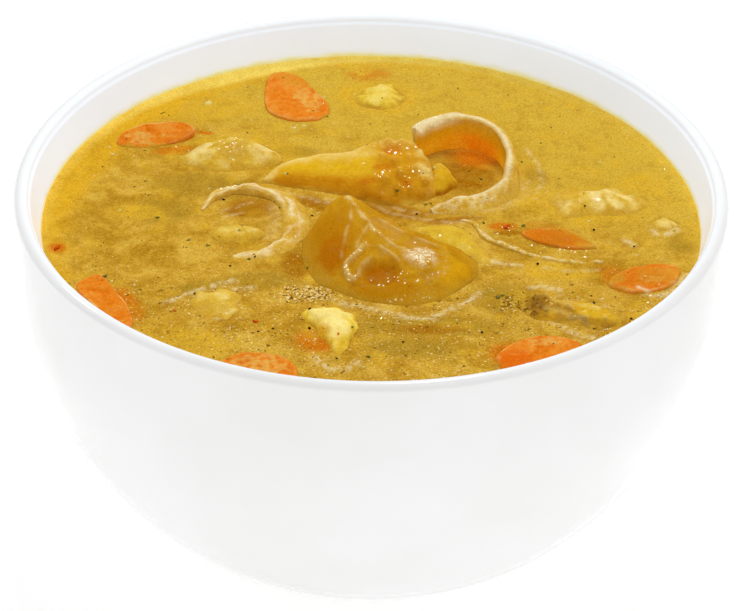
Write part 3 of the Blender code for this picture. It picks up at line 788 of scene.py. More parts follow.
points[:, 2] -= 1.8 * spots(plan, (2.4, -26.6, 5.0, 4.2, 10)) * ramp(points[:, 2] - LEVEL, 0.2, 2.0)
points[:, 2] += 0.9 * spots(plan, (11.0, -21.6, 5.6, 4.2, -15)) + 0.4 * spots(
    plan, (19.0, -23.6, 4.5, 3.6, -20))
points[:, 2] += 0.22 * spots(plan, (11.0, -21.6, 6.0, 5.0, 0)) * noise(points, 1.6, 30)
points[:, 2] += 0.1 * noise(points * (1.0, 0.3, 0.3), 1.3, 31) * ramp(-plan[:, 0], -1.0, 3.0)
move(foot_piece, points)
roughen(foot_piece, (7.0, 0.4, 32), (2.4, 0.1, 33), (0.9, 0.03, 34))
plan, rise, drift = survey(foot_piece, 2.4, 35)
paint(
    foot_piece,
    # amber and brown: painted shade on the left face, in the hollow and along the front
    amber=spots(plan, (-9.0, -16.0, 7.0, 11.0, 0), (3.0, -31.0, 10.0, 3.6, 0)),
    brown=spots(plan, (2.2, -26.4, 4.8, 3.8, 10), (-8.6, -20.0, 4.0, 6.0, 0)),
    gold=spots(plan, (18.0, -24.4, 5.0, 4.4, -20)),
    rosy=0.6 * spots(
        plan, (4.6, -13.0, 7.6, 4.4, -35), (12.0, -17.6, 6.0, 3.0, -20)) * ramp(drift, -0.7, 0.3),
    # pale: painted highlight along the fin's ridge, the fold and the creases
    pale=most(
        0.75 * strokes(plan, 0.5, fin_ridge, fold) * ramp(drift, -0.8, 0.2),
        0.5 * strokes(plan, 0.42, fold_inside, *creases) * ramp(drift, -0.6, 0.5)),
    # cream: fat on the lump, and partly a painted highlight there
    cream=0.95 * spots(plan, (11.0, -21.4, 4.4, 3.6, -15)) * ramp(drift, -0.4, 0.5),
    # painted light: a faint glow on its higher parts
    lit=0.05 * ramp(rise, 2.0, 6.0),
    # light: pale grains as painted glints on the lump, the fold and the ridge, and froth along the front
    light=most(
        spots(plan, (11.0, -21.4, 4.6, 3.8, -15)),
        0.6 * strokes(plan, 1.0, fold, fin_ridge, [(4.0, -34.0), (12.0, -33.0)])),
    film=fall(rise + 0.8 * drift, -0.2, 1.5 + 1.6 * ramp(-plan[:, 0], 6.0, 13.0)))
seat(foot_piece, foot_skin, "skin", "foot_chunk")

# ------------------------------------------------------------------------------------------------------
# Fat and soft meat
# A slab of fat against the foot, and loose lumps of soft meat and fat that only just break the surface. They
# have no firm edge: broth soaks their sides and a skin of fat lies on their tops.

# Soft fat: pale yellow and cloudy, cream where it stands clear of the broth and golden where broth soaks it.
# Its bulges are painted paler as a highlight.
soft_fat = food(
    "soft_fat", grain=1.4, drift=4.5, shades=("#ca9c2c", "#d6af3c", "#dfbf56"), wet=0.15, Roughness=0.45,
    tints={"gold": "#d4af30", "pale": "#ead284", "brown": "#c08c20", "film": "#cba034"})

lumps = {
    "fat_slab": mound("fat_slab_behind_foot", [
        (8.4, -5.0), (14.4, -2.8), (20.6, -4.0), (23.4, -9.0), (26.2, -14.8), (25.4, -19.0),
        (18.0, -15.0), (11.0, -10.0)], crest=(17.0, -7.4), rise=1.5, depth=5.0),
    "meat_left": mound("soft_meat_left", [
        (-44.8, 23.0), (-43.5, 29.6), (-37.5, 32.4), (-31.5, 31.6), (-26.0, 31.4), (-21.6, 26.0),
        (-23.6, 21.4), (-30.6, 19.2), (-38.5, 19.0)],
        crest=(-31.0, 27.0), rise=3.0, depth=6.0, around=150, rows=60),
    "meat_right": mound("soft_meat_right", [
        (40.5, 6.0), (43.0, 11.0), (50.0, 11.0), (57.0, 12.0), (62.6, 8.4), (60.0, 3.0), (50.0, 1.6),
        (43.5, 1.6)], crest=(52.6, 8.6), rise=1.8, depth=5.0, around=150, rows=60, uneven=1.5),
    "meat_right_small": mound("fat_lump_right", [
        (62.6, -1.2), (66.0, 2.2), (70.0, -0.8), (66.6, -3.8)], crest=(66.3, -0.6), rise=1.4, depth=4.0),
    "meat_left_front": mound("soft_meat_left_front", [
        (-38.6, -33.0), (-34.0, -30.4), (-29.4, -33.4), (-29.2, -39.6), (-33.6, -42.0), (-38.0, -38.6)],
        crest=(-33.6, -35.4), rise=0.9, depth=5.0, uneven=1.8),
}
for seed, (node, lump) in enumerate(lumps.items()):
    firm = node == "fat_slab"
    roughen(
        lump, (6.5, 0.2 if firm else 0.9, seed + 40), (2.6, 0.05 if firm else 0.26, seed + 50),
        (0.9, 0.03, seed + 60))
    plan, rise, drift = survey(lump, 2.6, seed + 70)
    # specks: random pale grains, and a painted highlight on the bulges
    specks = 0.35 * ramp(drift, 0.1, 0.6) + 0.25 * ramp(bulge(lump, 1.8) + 0.3 * drift, 0.3, 0.9)
    paint(
        lump,
        gold=0.9 if firm else 0.0,
        pale=most(
            specks * (0.4 if firm else 1.0),
            0.85 * ramp(drift, -0.6, 0.3) * spots(
                plan, (-40.5, 26.5, 3.6, 5.0, 0), (-25.0, 26.5, 3.0, 5.0, 0), (-33.0, 31.0, 7.0, 1.6, 0),
                (52.4, 8.4, 3.8, 2.8, 0), (58.6, 7.2, 3.6, 2.2, -20), (43.0, 5.0, 3.0, 2.6, 0),
                (54.6, 4.6, 3.4, 2.0, 0))),
        brown=most(0.35 * ramp(-drift, 0.2, 0.6), 0.5 * spots(plan, (-32.5, 24.5, 4.5, 3.5, 0))),
        # painted light: a faint glow
        lit=0.02 if node == "meat_left" else 0.07,
        film=fall(rise + 0.6 * drift, *((0.1, 1.5) if node == "meat_right" else (-0.1, 1.2))))
    seat(lump, soft_fat, "fat", node)

# ------------------------------------------------------------------------------------------------------
# Potato
# Floury potato, gone soft at the edges: three pieces show as bright yellow lumps with crumbling tops.

# Boiled floury potato: dry and mealy, with hardly any gloss. It is the brightest yellow in the bowl, nearly
# cream where a corner stands clear, partly its own dry colour and partly a painted highlight.
floury_potato = food(
    "floury_potato", grain=1.0, drift=4.0, shades=("#d9ae26", "#e3c03a", "#ebd052"), wet=0.12, bumps=0.6,
    Roughness=0.55, tints={"pale": "#f2de88", "amber": "#ce9418", "film": "#cb9f32"})

# Each lump has its mesh, then how pale its top is (partly a painted highlight), how strongly it glows with
# painted light, and over which heights the film of broth on it ends.
potatoes = {
    "potato_front": (mound("potato_lump_front", [
        (-14.4, -40.0), (-11.0, -36.8), (-5.0, -37.6), (-2.6, -42.0), (-4.0, -50.0), (-6.6, -54.6),
        (-10.0, -47.6)], crest=(-8.6, -41.6), rise=2.4, depth=6.0), 0.9, 0.08, (-0.2, 1.0)),
    "potato_back": (mound("potato_lump_back", [
        (-4.4, 51.4), (-2.0, 58.6), (3.6, 60.6), (8.0, 56.0), (6.6, 50.4), (0.8, 48.8)],
        crest=(2.0, 55.0), rise=1.8, depth=5.0), 0.4, 0.0, (-0.2, 1.0)),
    "potato_in_ring": (mound("potato_lump_in_ring", [
        (-35.0, -6.8), (-31.0, -3.6), (-26.0, -5.6), (-25.4, -9.4), (-29.6, -11.2), (-34.0, -10.4)],
        crest=(-30.0, -6.6), rise=1.3, depth=4.0, uneven=1.6), 0.6, 0.06, (0.2, 2.6)),
}
for seed, (node, (lump, paleness, light, soaked)) in enumerate(potatoes.items()):
    roughen(lump, (4.5, 0.7, seed + 80), (2.0, 0.26, seed + 90), (0.8, 0.07, seed + 100))
    plan, rise, drift = survey(lump, 1.8, seed + 110)
    paint(
        lump,
        # pale: paler higher up, partly a painted highlight
        pale=paleness * ramp(rise + 0.7 * drift, 0.5, 2.1),
        amber=spots(plan, (-12.0, -47.0, 4.0, 3.0, 0)),
        # painted light: the lump's glow
        lit=light,
        film=fall(rise + 0.6 * drift, *soaked))
    seat(lump, floury_potato, "potato", node)

# ------------------------------------------------------------------------------------------------------
# Broth
# Cloudy gold broth, thick with collagen, poured in last. It climbs the wall and every piece by a fraction
# of a millimetre, and a skin of fat drifts on it in lighter and darker patches.

BROTH_GRID = 290            # cells across the surface
EDGE = inner_radius(LEVEL)  # radius of the broth's surface
INTO_WALL = 0.8             # how far the broth's mesh runs into the bowl, so that no air shows between them
CLIMB = (0.6, 1.2, 0.8)     # how far the broth climbs at the wall, over what width, and the most it may
DIP = 1.4                   # how far it sinks out of sight inside a piece
FLOOR_EDGE = 12.5           # height at which the broth's side starts to turn in over the bowl's floor

films = [
    [(-8.0, -33.2), (-5.4, -35.0), (0.0, -36.6), (3.2, -38.0), (8.0, -39.8), (12.9, -40.7)],
    [(12.9, -40.7), (17.3, -36.6), (21.0, -33.6), (23.9, -30.1)],
    [(-11.4, -55.2), (-9.2, -58.1), (-6.7, -59.4), (-4.0, -58.7), (-2.3, -56.5)],
    [(-44.2, -35.6), (-41.1, -33.6), (-37.0, -30.4), (-30.0, -26.7)],
    [(-36.5, -32.7), (-34.4, -37.3), (-32.2, -41.4)],
    [(36.5, -38.6), (39.8, -41.2), (43.6, -45.2), (46.7, -46.6), (49.0, -46.9)],
    [(57.1, -25.0), (58.4, -28.1), (61.7, -30.3), (64.8, -29.5), (67.0, -26.3), (69.4, -22.3)],
    [(63.3, -2.9), (64.0, -5.0), (65.1, -5.8), (66.9, -5.3), (69.3, -3.2)],
    [(34.8, -27.9), (38.1, -27.6), (41.3, -28.7)],
    [(27.1, -17.7), (29.7, -18.5), (33.0, -19.2)],
    [(-29.4, -30.2), (-25.5, -29.3)],
    [(57.0, -8.0), (58.6, -10.5)],
]
faint_films = [
    [(-20.6, 10.4), (-15.6, 8.1), (-10.6, 7.3), (-5.0, 7.5)],
    [(-12.6, 6.2), (-8.0, 5.6), (-5.0, 5.9)],
    [(0.6, 5.0), (4.8, 1.8), (9.7, 0.0), (14.6, -1.2), (19.4, -1.8), (24.3, -0.6)],
    [(4.0, 4.6), (8.4, 2.6), (12.6, 1.6)],
    [(36.5, 31.0), (39.0, 24.0), (39.4, 16.0), (37.6, 9.0)],
    [(-34.5, 1.2), (-31.0, 3.6), (-27.5, 5.6)],
    [(-33.0, -0.6), (-29.5, 1.0)],
    [(38.0, -19.6), (44.0, -21.0), (50.0, -20.4)],
    [(41.0, -31.0), (46.0, -33.4), (51.0, -34.6)],
]


def inside(plan, outline):
    """Which plan points lie inside a closed outline."""
    x, y = plan.T
    odd = np.zeros(len(plan), bool)
    for (x0, y0), (x1, y1) in zip(outline, np.roll(outline, -1, 0)):
        if y0 != y1:
            odd ^= ((y0 > y) != (y1 > y)) & (x < (x1 - x0) * (y - y0) / (y1 - y0) + x0)
    return odd


def broth_height(plan):
    """Height of the broth's surface over its level, at plan points. It is drawn up the side of each piece,
    and dips out of sight inside it."""
    flat = np.column_stack([plan, np.zeros(len(plan))])
    height = CLIMB[0] * np.exp(-(EDGE - np.hypot(*plan.T)) / CLIMB[1])
    height = np.minimum(height, CLIMB[2])
    height += 0.14 * noise(flat, 16.0, 120) + 0.06 * noise(flat, 5.0, 121) + 0.03 * noise(flat, 1.7, 122)
    for outline, pull in shores:
        outline = outline[:, :2]
        low, high = outline.min(0) - 4, outline.max(0) + 4
        close = np.flatnonzero(((plan > low) & (plan < high)).all(1))
        away = off_line(plan[close], outline, closed=True)
        under = inside(plan[close], outline)
        height[close] += np.where(under, pull - DIP * ramp(away, 0.1, 1.6), pull * np.exp(-away / 1.1))
    return height + 0.22 * strokes(plan, 0.8, *films) + 0.08 * strokes(plan, 0.7, *faint_films)


# The surface is a square grid pressed into a circle. Below its border, rings follow the bowl's inside down.
steps = np.linspace(-1, 1, BROTH_GRID + 1)
u, v = (values.ravel() for values in np.meshgrid(steps, steps, indexing="ij"))
plan = np.stack([u * np.sqrt(1 - v * v / 2), v * np.sqrt(1 - u * u / 2)], 1) * (EDGE + INTO_WALL)
top = np.column_stack([plan, LEVEL + broth_height(plan)])
index = np.arange(len(top)).reshape(BROTH_GRID + 1, -1)
border = np.concatenate([index[:-1, 0], index[-1, :-1], index[:0:-1, -1], index[0, :0:-1]])
quads = np.stack([index[:-1, :-1], index[1:, :-1], index[1:, 1:], index[:-1, 1:]], -1).reshape(-1, 4).tolist()
points = [top]
above = border
turn = plan[border] / np.hypot(*plan[border].T)[:, None]
for height in (68.0, 58.0, 46.0, 34.0, 24.0, 16.0, 12.0, 9.0):
    radius = inner_radius(max(height, FLOOR_EDGE)) + INTO_WALL
    radius -= 0 if height > 12 else (FLOOR_EDGE - height) * 5
    below = np.arange(len(border)) + sum(len(part) for part in points)
    points.append(np.column_stack([turn * radius, np.full(len(border), height)]))
    quads += np.stack([above, below, np.roll(below, -1), np.roll(above, -1)], -1)[:, ::-1].tolist()
    above = below
bottom = sum(len(part) for part in points)
points.append(np.array([[0.0, 0.0, FLOOR + 0.4]]))
quads += [(int(b), int(a), bottom) for a, b in zip(above, np.roll(above, -1))]
broth = solid("broth_cloudy", np.concatenate(points), quads)

# Cloudy broth: gold, with a grain of meat and spice too fine to pick out. Patches of oil by the wall are
# orange yellow, and carrot under the surface glows orange. Light and shade are painted on it as well: it is
# painted lighter towards the back as a sheen, olive and brown as shade beside and under the pieces, orange
# inside the curl as the glow of its wall, and it glows a little by the back wall.
cloudy_broth = food(
    "cloudy_broth", grain=1.0, drift=7.0, shades=("#b0811c", "#c6982e", "#d6ac42"), wet=0.05, bumps=0.3,
    grit=0.3, Roughness=0.4, flecks=[("dark", 1.0, "#7e540e"), ("light", 0.6, "#ead088")],
    tints={"sunny": "#d0aa38", "warm": "#deaa20", "olive": "#ac8626", "brown": "#a66c0c", "orange": "#cb7612",
           "bright": "#d8aa2c", "cream": "#e2cc92", "fringe": "#ebcf60", "film": "#c0922a"})

plan = points_of(broth)[:, :2]
flat = points_of(broth) * (1, 1, 0)
from_wall = EDGE - np.hypot(*plan.T)
bearing = np.degrees(np.arctan2(plan[:, 1], plan[:, 0]))
drift = noise(flat, 6.0, 130)
patchy = ramp(noise(flat, 2.6, 131), -0.8, 0.3)
left_back = np.exp(-((bearing % 360 - 150) / 55) ** 2)
widened = 2.5 * np.exp(-((bearing - 117) / 14) ** 2)
frothy = most(
    0.55 * spots(
        plan, (-34.0, -36.0, 14.0, 9.0, 10), (-8.0, -58.0, 10.0, 6.0, 0), (8.0, -40.0, 14.0, 5.0, -8),
        (30.0, -32.0, 8.0, 5.0, 0), (-26.0, -50.0, 16.0, 10.0, -10)),
    0.45 * ramp(-plan[:, 1], 8.0, 34.0),
    spots(plan, (-14.0, -31.5, 9.5, 5.0, 5), (31.0, -35.0, 6.0, 5.0, 0)))
paint(
    broth,
    # painted sheen: the broth is painted lighter towards the back and right
    sunny=0.9 * ramp(plan[:, 1] + 0.45 * plan[:, 0] + 8 * drift, 0.0, 50.0),
    fringe=fall(from_wall + 0.5 * drift - widened, 0.4, 3.0) * (
        0.1 + 0.8 * np.exp(-((bearing % 360 - 105) / 50) ** 2)),
    # painted light: a glow by the back wall and inside the curl
    lit=0.2 * np.exp(-from_wall / 0.8) * ramp(plan[:, 1], -30.0, 10.0)
    + 0.28 * spots(plan, (23.8, 28.0, 6.4, 3.0, -20)),
    warm=ramp(9.0 * left_back + 3.0 - from_wall + 2.5 * drift, 0.0, 6.0) * (0.3 + 0.52 * left_back),
    # olive: a faint random mottle, and painted shade beside the pieces and by the wall
    olive=0.35 * ramp(noise(flat, 3.2, 137), 0.25, 0.8) + (0.8 + 0.35 * noise(flat, 4.0, 135)) * spots(
        plan, (-38.0, 12.5, 15.0, 6.5, -10), (-48.0, 2.0, 8.0, 7.0, 0), (-19.0, 28.5, 7.0, 3.0, 0),
        (8.0, 29.5, 5.0, 3.0, 0), (12.0, -43.0, 22.0, 4.6, 2), (28.5, -32.0, 7.0, 7.0, 0),
        (38.5, 19.0, 3.0, 5.0, 20), (69.5, -9.5, 4.0, 5.0, 0), (10.0, -51.0, 13.0, 5.0, 0),
        (-24.0, -26.0, 9.0, 4.0, 0), (-37.0, -29.0, 7.0, 3.0, 20)),
    # brown: painted shade inside the curl, under and between the pieces and inside the ring
    brown=(0.9 + 0.4 * noise(flat, 2.2, 138)) * spots(
        plan, (21.5, 19.0, 9.0, 9.5, 0), (-11.5, 4.8, 7.5, 3.2, -30), (5.0, 2.8, 10.0, 3.6, -18),
        (-28.0, 3.0, 7.0, 5.0, 10), (13.0, -44.0, 9.0, 2.2, 2), (-16.5, -20.0, 4.0, 7.0, 10),
        (18.0, -0.9, 8.0, 1.6, 8), (31.0, -5.6, 4.0, 1.4, 0)),
    # orange: carrot and chilli under the surface, and inside the curl a painted glow from its wall
    orange=0.6 * patchy * spots(plan, (-1.0, 66.0, 7.0, 4.0, 10), (41.0, -5.4, 8.0, 4.0, -28)) + spots(
        plan, (23.8, 26.4, 7.4, 4.4, -20), (29.0, -53.0, 5.0, 5.0, 0), (54.5, -24.0, 4.0, 7.0, 30),
        (-46.0, 28.5, 6.5, 2.4, 10), (-69.8, -14.4, 2.6, 2.6, 0), (-11.0, -49.0, 6.0, 5.0, 0),
        (-40.5, 36.8, 3.4, 1.0, -12), (29.8, -3.0, 4.0, 2.0, 0), (-52.0, -36.0, 3.0, 8.0, 25)),
    bright=0.45 * ramp(noise(flat, 5.0, 136), 0.15, 0.7) + (0.6 + 0.35 * noise(flat, 3.5, 134)) * spots(
        plan, (1.0, 55.0, 12.0, 9.0, 0), (63.0, 16.0, 7.0, 6.0, 0), (-38.0, 48.0, 12.0, 6.0, 25),
        (40.0, -21.0, 9.0, 4.0, -10), (-54.0, 1.0, 8.0, 4.0, 0), (-12.0, -25.0, 3.0, 3.0, 0),
        (-31.0, 27.0, 17.0, 10.0, 0), (50.0, 6.0, 16.0, 9.0, 0), (36.0, 8.0, 4.0, 5.0, 0),
        (-38.0, -50.0, 12.0, 6.0, -20)),
    cream=most(
        0.8 * strokes(plan, 0.8, *films) * ramp(noise(flat, 1.2, 132), -0.4, 0.3),
        0.4 * strokes(plan, 0.6, *faint_films) * ramp(noise(flat, 1.8, 133), -0.5, 0.3))
    + 0.3 * ramp(noise(flat, 1.4, 139), -0.6, 0.5) * strokes(
        plan, 1.8, [(35.6, 15.6), (33.8, 9.6), (29.0, 5.0), (22.4, 2.4)],
        [(-22.2, 3.8), (-21.4, -2.6), (-22.4, -8.6)]),
    light=0.05 + 0.95 * frothy * (1 - 0.5 * spots(plan, (30.0, -34.0, 7.0, 6.0, 0))),
    dark=0.05 + 0.95 * frothy)
seat(broth, cloudy_broth, "broth", "broth")

# ------------------------------------------------------------------------------------------------------
# Froth
# Tiny bubbles left from the boil. They gather along the front of the foot and in drifts towards the eater,
# and a few stand by themselves.

FROTH_TRIES = 16000
BUBBLE_SIDES = 7


def joined(name, shapes):
    """One mesh of many small closed shapes, each (points in mm, faces)."""
    points, faces, count = [], [], 0
    for shape_points, shape_faces in shapes:
        points.append(shape_points)
        faces += [tuple(int(i) + count for i in face) for face in shape_faces]
        count += len(shape_points)
    return solid(name, np.concatenate(points), faces)


def dome(radius, height):
    """A bubble's cap with a skirt that dips under the broth."""
    points, faces = [], []
    for ring, (out, up) in enumerate(((0.8, -0.6), (1.0, 0.0), (0.72, 0.7))):
        for i in range(BUBBLE_SIDES):
            turn = 2 * math.pi * (i + 0.5 * ring) / BUBBLE_SIDES
            points.append((out * radius * math.cos(turn), out * radius * math.sin(turn), up * height))
            if ring:
                low, high, far = BUBBLE_SIDES * (ring - 1), BUBBLE_SIDES * ring, (i + 1) % BUBBLE_SIDES
                faces += [(low + i, low + far, high + i), (low + far, high + far, high + i)]
    tip = len(points)
    points.append((0, 0, height))
    faces += [(high + i, high + (i + 1) % BUBBLE_SIDES, tip) for i in range(BUBBLE_SIDES)]
    faces.append(tuple(range(BUBBLE_SIDES - 1, -1, -1)))
    return np.array(points), faces


draw = np.random.default_rng(7)
tries = draw.uniform(-1, 1, (FROTH_TRIES, 2)) * EDGE
tries = tries[np.hypot(*tries.T) < EDGE - 1.5]
clumped = ramp(noise(np.column_stack([tries, tries[:, 0] * 0]), 3.5, 140), -0.1, 0.5)
drifts = most(
    0.9 * strokes(tries, 1.3, *films),
    0.75 * spots(tries, (-14.0, -31.5, 8.0, 4.2, 5), (-8.0, -58.0, 8.0, 3.6, 0)))
chance = most(
    drifts * (0.4 + 0.6 * clumped),
    0.24 * clumped * ramp(-tries[:, 1], 6.0, 30.0),
    np.full(len(tries), 0.015))
clear = np.ones(len(tries), bool)
for outline, pull in shores:
    clear &= ~inside(tries, outline[:, :2])
kept = tries[(draw.random(len(tries)) < chance) & clear]
sizes = draw.uniform(0.1, 0.3, len(kept)) * draw.uniform(0.6, 1.0, len(kept))
bubbles = []
for (x, y), size, height in zip(kept, sizes, broth_height(kept)):
    points, faces = dome(size, size * 0.8)
    bubbles.append((points + (x, y, LEVEL + height), faces))
froth = joined("froth_bubbles", bubbles)

# Froth: a thin shell of broth and fat, paler than the broth and very glossy, so each bubble has one glint.
fat_froth = food(
    "fat_froth", grain=1.0, drift=3.0, shades=("#e0bc5c", "#ecd48c", "#f4e6b8"), wet=0.8, glow=0.0, bumps=0.1,
    Roughness=0.2)
seat(froth, fat_froth, "broth")

# ------------------------------------------------------------------------------------------------------
# Herbs, pepper and crumbs
# What was stirred in last: torn leaf of dried herb, coarse black pepper, a few flakes of chilli and crumbs
# of potato and meat. Each kind is one piece, and every bit lies on what is under it.

BEAD_TRIES = 40000
LOOSE = 70                  # how many of each kind lie about at random
shown = bpy.context.evaluated_depsgraph_get()


def top_at(x, y):
    """Height in mm of the highest surface at a place in plan."""
    start = Vector((x * MM, y * MM, 2 * HEIGHT * MM))
    found, place, *_ = bpy.context.scene.ray_cast(shown, start, Vector((0, 0, -1)))
    return place.z / MM if found else LEVEL


def turned_by(points, tip):
    """The points turned about Z at random and tipped at random by up to some degrees."""
    tilt = Matrix.Rotation(math.radians(draw.uniform(-tip, tip)), 3, "X")
    tilt = Matrix.Rotation(math.radians(draw.uniform(-tip, tip)), 3, "Y") @ tilt
    spin = Matrix.Rotation(draw.uniform(0, 2 * math.pi), 3, "Z")
    return points @ np.array(spin @ tilt).T


def flake(length, width, thick):
    """A torn scrap of leaf: a ragged outline, domed and thin."""
    corners = 9
    turn = np.linspace(0, 2 * math.pi, corners, endpoint=False)
    ragged = draw.uniform(0.65, 1.1, corners)
    rim = np.stack([np.cos(turn) * length / 2 * ragged, np.sin(turn) * width / 2 * ragged, turn * 0], 1)
    rim[:, 2] += draw.uniform(-0.3, 0.3, corners) * thick
    points = np.concatenate([rim, [[0, 0, thick]], [[0, 0, -thick]]])
    faces = [(i, (i + 1) % corners, corners) for i in range(corners)]
    faces += [((i + 1) % corners, i, corners + 1) for i in range(corners)]
    return turned_by(points, 18), faces


def crumb(size):
    """A broken grain: a ball of two rings of six points, with its corners pushed in and out."""
    points = [(0, 0, -1)]
    for up in (-0.5, 0.3):
        out = math.sqrt(1 - up * up)
        turns = [2 * math.pi * i / 6 + up for i in range(6)]
        points += [(out * math.cos(turn), out * math.sin(turn), up) for turn in turns]
    points.append((0, 0, 1))
    faces = [(0, 1 + (i + 1) % 6, 1 + i) for i in range(6)]
    faces += [(1 + i, 1 + (i + 1) % 6, 7 + (i + 1) % 6, 7 + i) for i in range(6)]
    faces += [(7 + i, 7 + (i + 1) % 6, 13) for i in range(6)]
    points = np.array(points) * draw.uniform(0.6, 1.15, (14, 1)) * size / 2 * (1, 0.7, 0.6)
    return turned_by(points, 30), faces


def strewn(edge, smallest, largest):
    """Bits at random on the broth, each (x, y, size), at least that far from the wall."""
    places = draw.uniform(-1, 1, (4 * LOOSE, 2)) * EDGE
    places = places[np.hypot(*places.T) < EDGE - edge][:LOOSE]
    return np.column_stack([places, draw.uniform(smallest, largest, len(places))]).tolist()


def lay(name, make, bits, lift):
    """One piece of many small bits, each (x, y, size), resting on what is under it."""
    shapes = []
    for x, y, size in bits:
        points, faces = make(size)
        shapes.append((points + (x, y, top_at(x, y) + lift * size), faces))
    return joined(name, shapes)


# Beads of clear fat, near white and glowing with painted light, set where glints fall, so they are painted
# glints as much as fat. They cling to the knuckles, to the fold and the hollow of the foot, and to the edges
# of the thin skin.
clear_fat_glints = food(
    "clear_fat_glints", grain=0.6, drift=2.0, shades=("#f2e2ae", "#f8efcf", "#fdfaf0"), wet=0.8, glow=0.0, bumps=0.0,
    Roughness=0.2)
tries = draw.uniform((-45, -46), (70, 36), (BEAD_TRIES, 2))
chance = most(
    0.1 * spots(
        tries, (7.5, 21.0, 5.0, 2.2, 0), (2.5, 12.5, 3.5, 1.8, 10), (8.5, 12.0, 3.0, 2.6, 0),
        (4.0, -27.5, 5.0, 1.8, 10), (11.0, -21.4, 4.6, 3.8, -15), (8.6, -28.6, 2.6, 1.2, 0),
        (30.0, -3.6, 3.2, 1.2, 0), (-34.0, 27.0, 6.0, 3.0, 0)),
    0.22 * strokes(
        tries, 0.5, fold, [(0.7, -14.7), (2.0, -16.0), (3.0, -18.0)],
        [(36.0, -10.6), (43.0, -12.8), (49.0, -12.6)], [(10.4, 28.6), (12.0, 29.8)],
        [(-35.0, 8.6), (-31.0, 11.0)], [(47.0, -43.6), (51.0, -43.4)]))
beads = tries[draw.random(len(tries)) < chance]
sizes = 0.35 + draw.random(len(beads)) ** 2 * (0.25 + 0.75 * spots(beads, (6.5, 17.0, 9.0, 8.0, 0)))
fat_bead_glints = lay("fat_bead_glints", crumb, np.column_stack([beads, sizes]).tolist(), lift=0.05)
# painted light: the beads glow
paint(fat_bead_glints, lit=0.6)
seat(fat_bead_glints, clear_fat_glints, "broth")

# Dried leaf, soaked dark green, with paler and browner scraps among it. The larger scraps have places.
soaked_herb = food(
    "soaked_herb", grain=0.8, drift=2.5, shades=("#4f5a26", "#66702c", "#85803a"), wet=0.3, glow=0.0,
    Roughness=0.5)
herbs = lay("herb_flakes", lambda size: flake(size, size * 0.6, 0.1), [
    (-58.2, -25.8, 1.7), (-3.8, -45.2, 1.3), (-0.3, -54.6, 1.4), (23.9, -44.9, 1.2), (27.7, -31.5, 1.7),
    (34.2, -2.8, 1.6), (25.5, -1.7, 1.2), (12.4, 5.6, 1.4), (5.8, 7.8, 1.5), (-20.8, 3.3, 1.2),
    (-48.4, -1.1, 1.6), (25.4, 17.4, 1.3), (28.6, -30.9, 1.3), (-29.5, -7.9, 1.0), (-52.4, 14.6, 1.2),
    (-54.6, 12.0, 1.1), (-27.0, -18.0, 1.4), (-36.4, -12.8, 1.2), (-40.8, -10.6, 1.2),
    *strewn(5.0, 0.4, 1.0)], lift=0.03)
seat(herbs, soaked_herb, "broth")

# Coarse black pepper: near black husk with brown broken faces.
cracked_pepper = food(
    "cracked_pepper", grain=0.5, drift=1.5, shades=("#1d1208", "#2e1c0c", "#5a3814"), wet=0.3, glow=0.0,
    Roughness=0.45)
pepper = lay("pepper_grains", crumb, [
    (-12.9, -39.1, 1.1), (-12.8, -44.6, 1.0), (-23.7, -46.0, 0.8), (-20.6, -44.8, 0.8), (-6.8, -55.5, 0.8),
    (7.1, -49.0, 0.8), (48.7, 4.0, 0.8), (50.3, -4.0, 1.0), (58.8, -10.9, 0.8), (37.0, -18.3, 1.0),
    (48.0, -30.7, 0.7), (48.4, -33.6, 0.8), (56.0, -39.3, 0.9), (23.9, -45.3, 0.7), (-33.8, 6.6, 1.0),
    (-38.0, -32.4, 0.8), (10.4, 1.5, 0.8), (-13.4, 0.2, 0.8), (-31.0, -20.8, 0.8), (-25.6, -17.4, 0.8),
    *strewn(6.0, 0.2, 0.5)], lift=0.1)
seat(pepper, cracked_pepper, "broth")

# Chilli flake and carrot chips: bright red orange.
red_flake = food(
    "red_flake", grain=0.7, drift=2.0, shades=("#c23c0a", "#d4520e", "#dc7a2a"), wet=0.4, Roughness=0.4)
reds = lay("red_flakes", lambda size: flake(size, size * 0.55, 0.25), [
    (-24.3, -42.3, 1.8), (-6.6, -48.8, 1.0), (-69.8, -14.6, 2.2), (30.6, -3.2, 3.0), (-42.0, -38.5, 1.2),
    (13.0, -9.0, 0.8)], lift=0.05)
seat(reds, red_flake, "carrot")

# Crumbs of potato and meat, pale yellow and half sunk.
pale_crumb = food(
    "pale_crumb", grain=0.8, drift=2.0, shades=("#d8b84c", "#e2ca72", "#eddf9f"), wet=0.4, glow=0.25,
    Roughness=0.4)
crumbs = lay("pale_crumbs", crumb, [
    (-40.0, 50.5, 3.0), (-18.8, 39.5, 2.2), (-16.4, 40.6, 1.8), (-57.2, 1.7, 2.0), (-12.2, 1.4, 1.8),
    (56.0, 9.6, 1.8), (59.8, 9.2, 2.4), *strewn(5.0, 0.5, 1.4)], lift=-0.12)
seat(crumbs, pale_crumb, "potato")

# ------------------------------------------------------------------------------------------------------
# Setting
# A white sweep under soft light: a large lamp overhead and behind, a low fill from the front, and a bright
# room all round, so that the bowl is nearly white on white. Two small lamps only add shine to what is wet.

SWEEP = 3.0                 # metres from the middle of the sweep to its edges
mesh = bpy.data.meshes.new("white_sweep")
mesh.from_pydata(
    [(-SWEEP, -SWEEP, 0), (SWEEP, -SWEEP, 0), (SWEEP, SWEEP, 0), (-SWEEP, SWEEP, 0)], [], [(0, 1, 2, 3)])
sweep = bpy.data.objects.new("white_sweep", mesh)
bpy.context.scene.collection.objects.link(sweep)

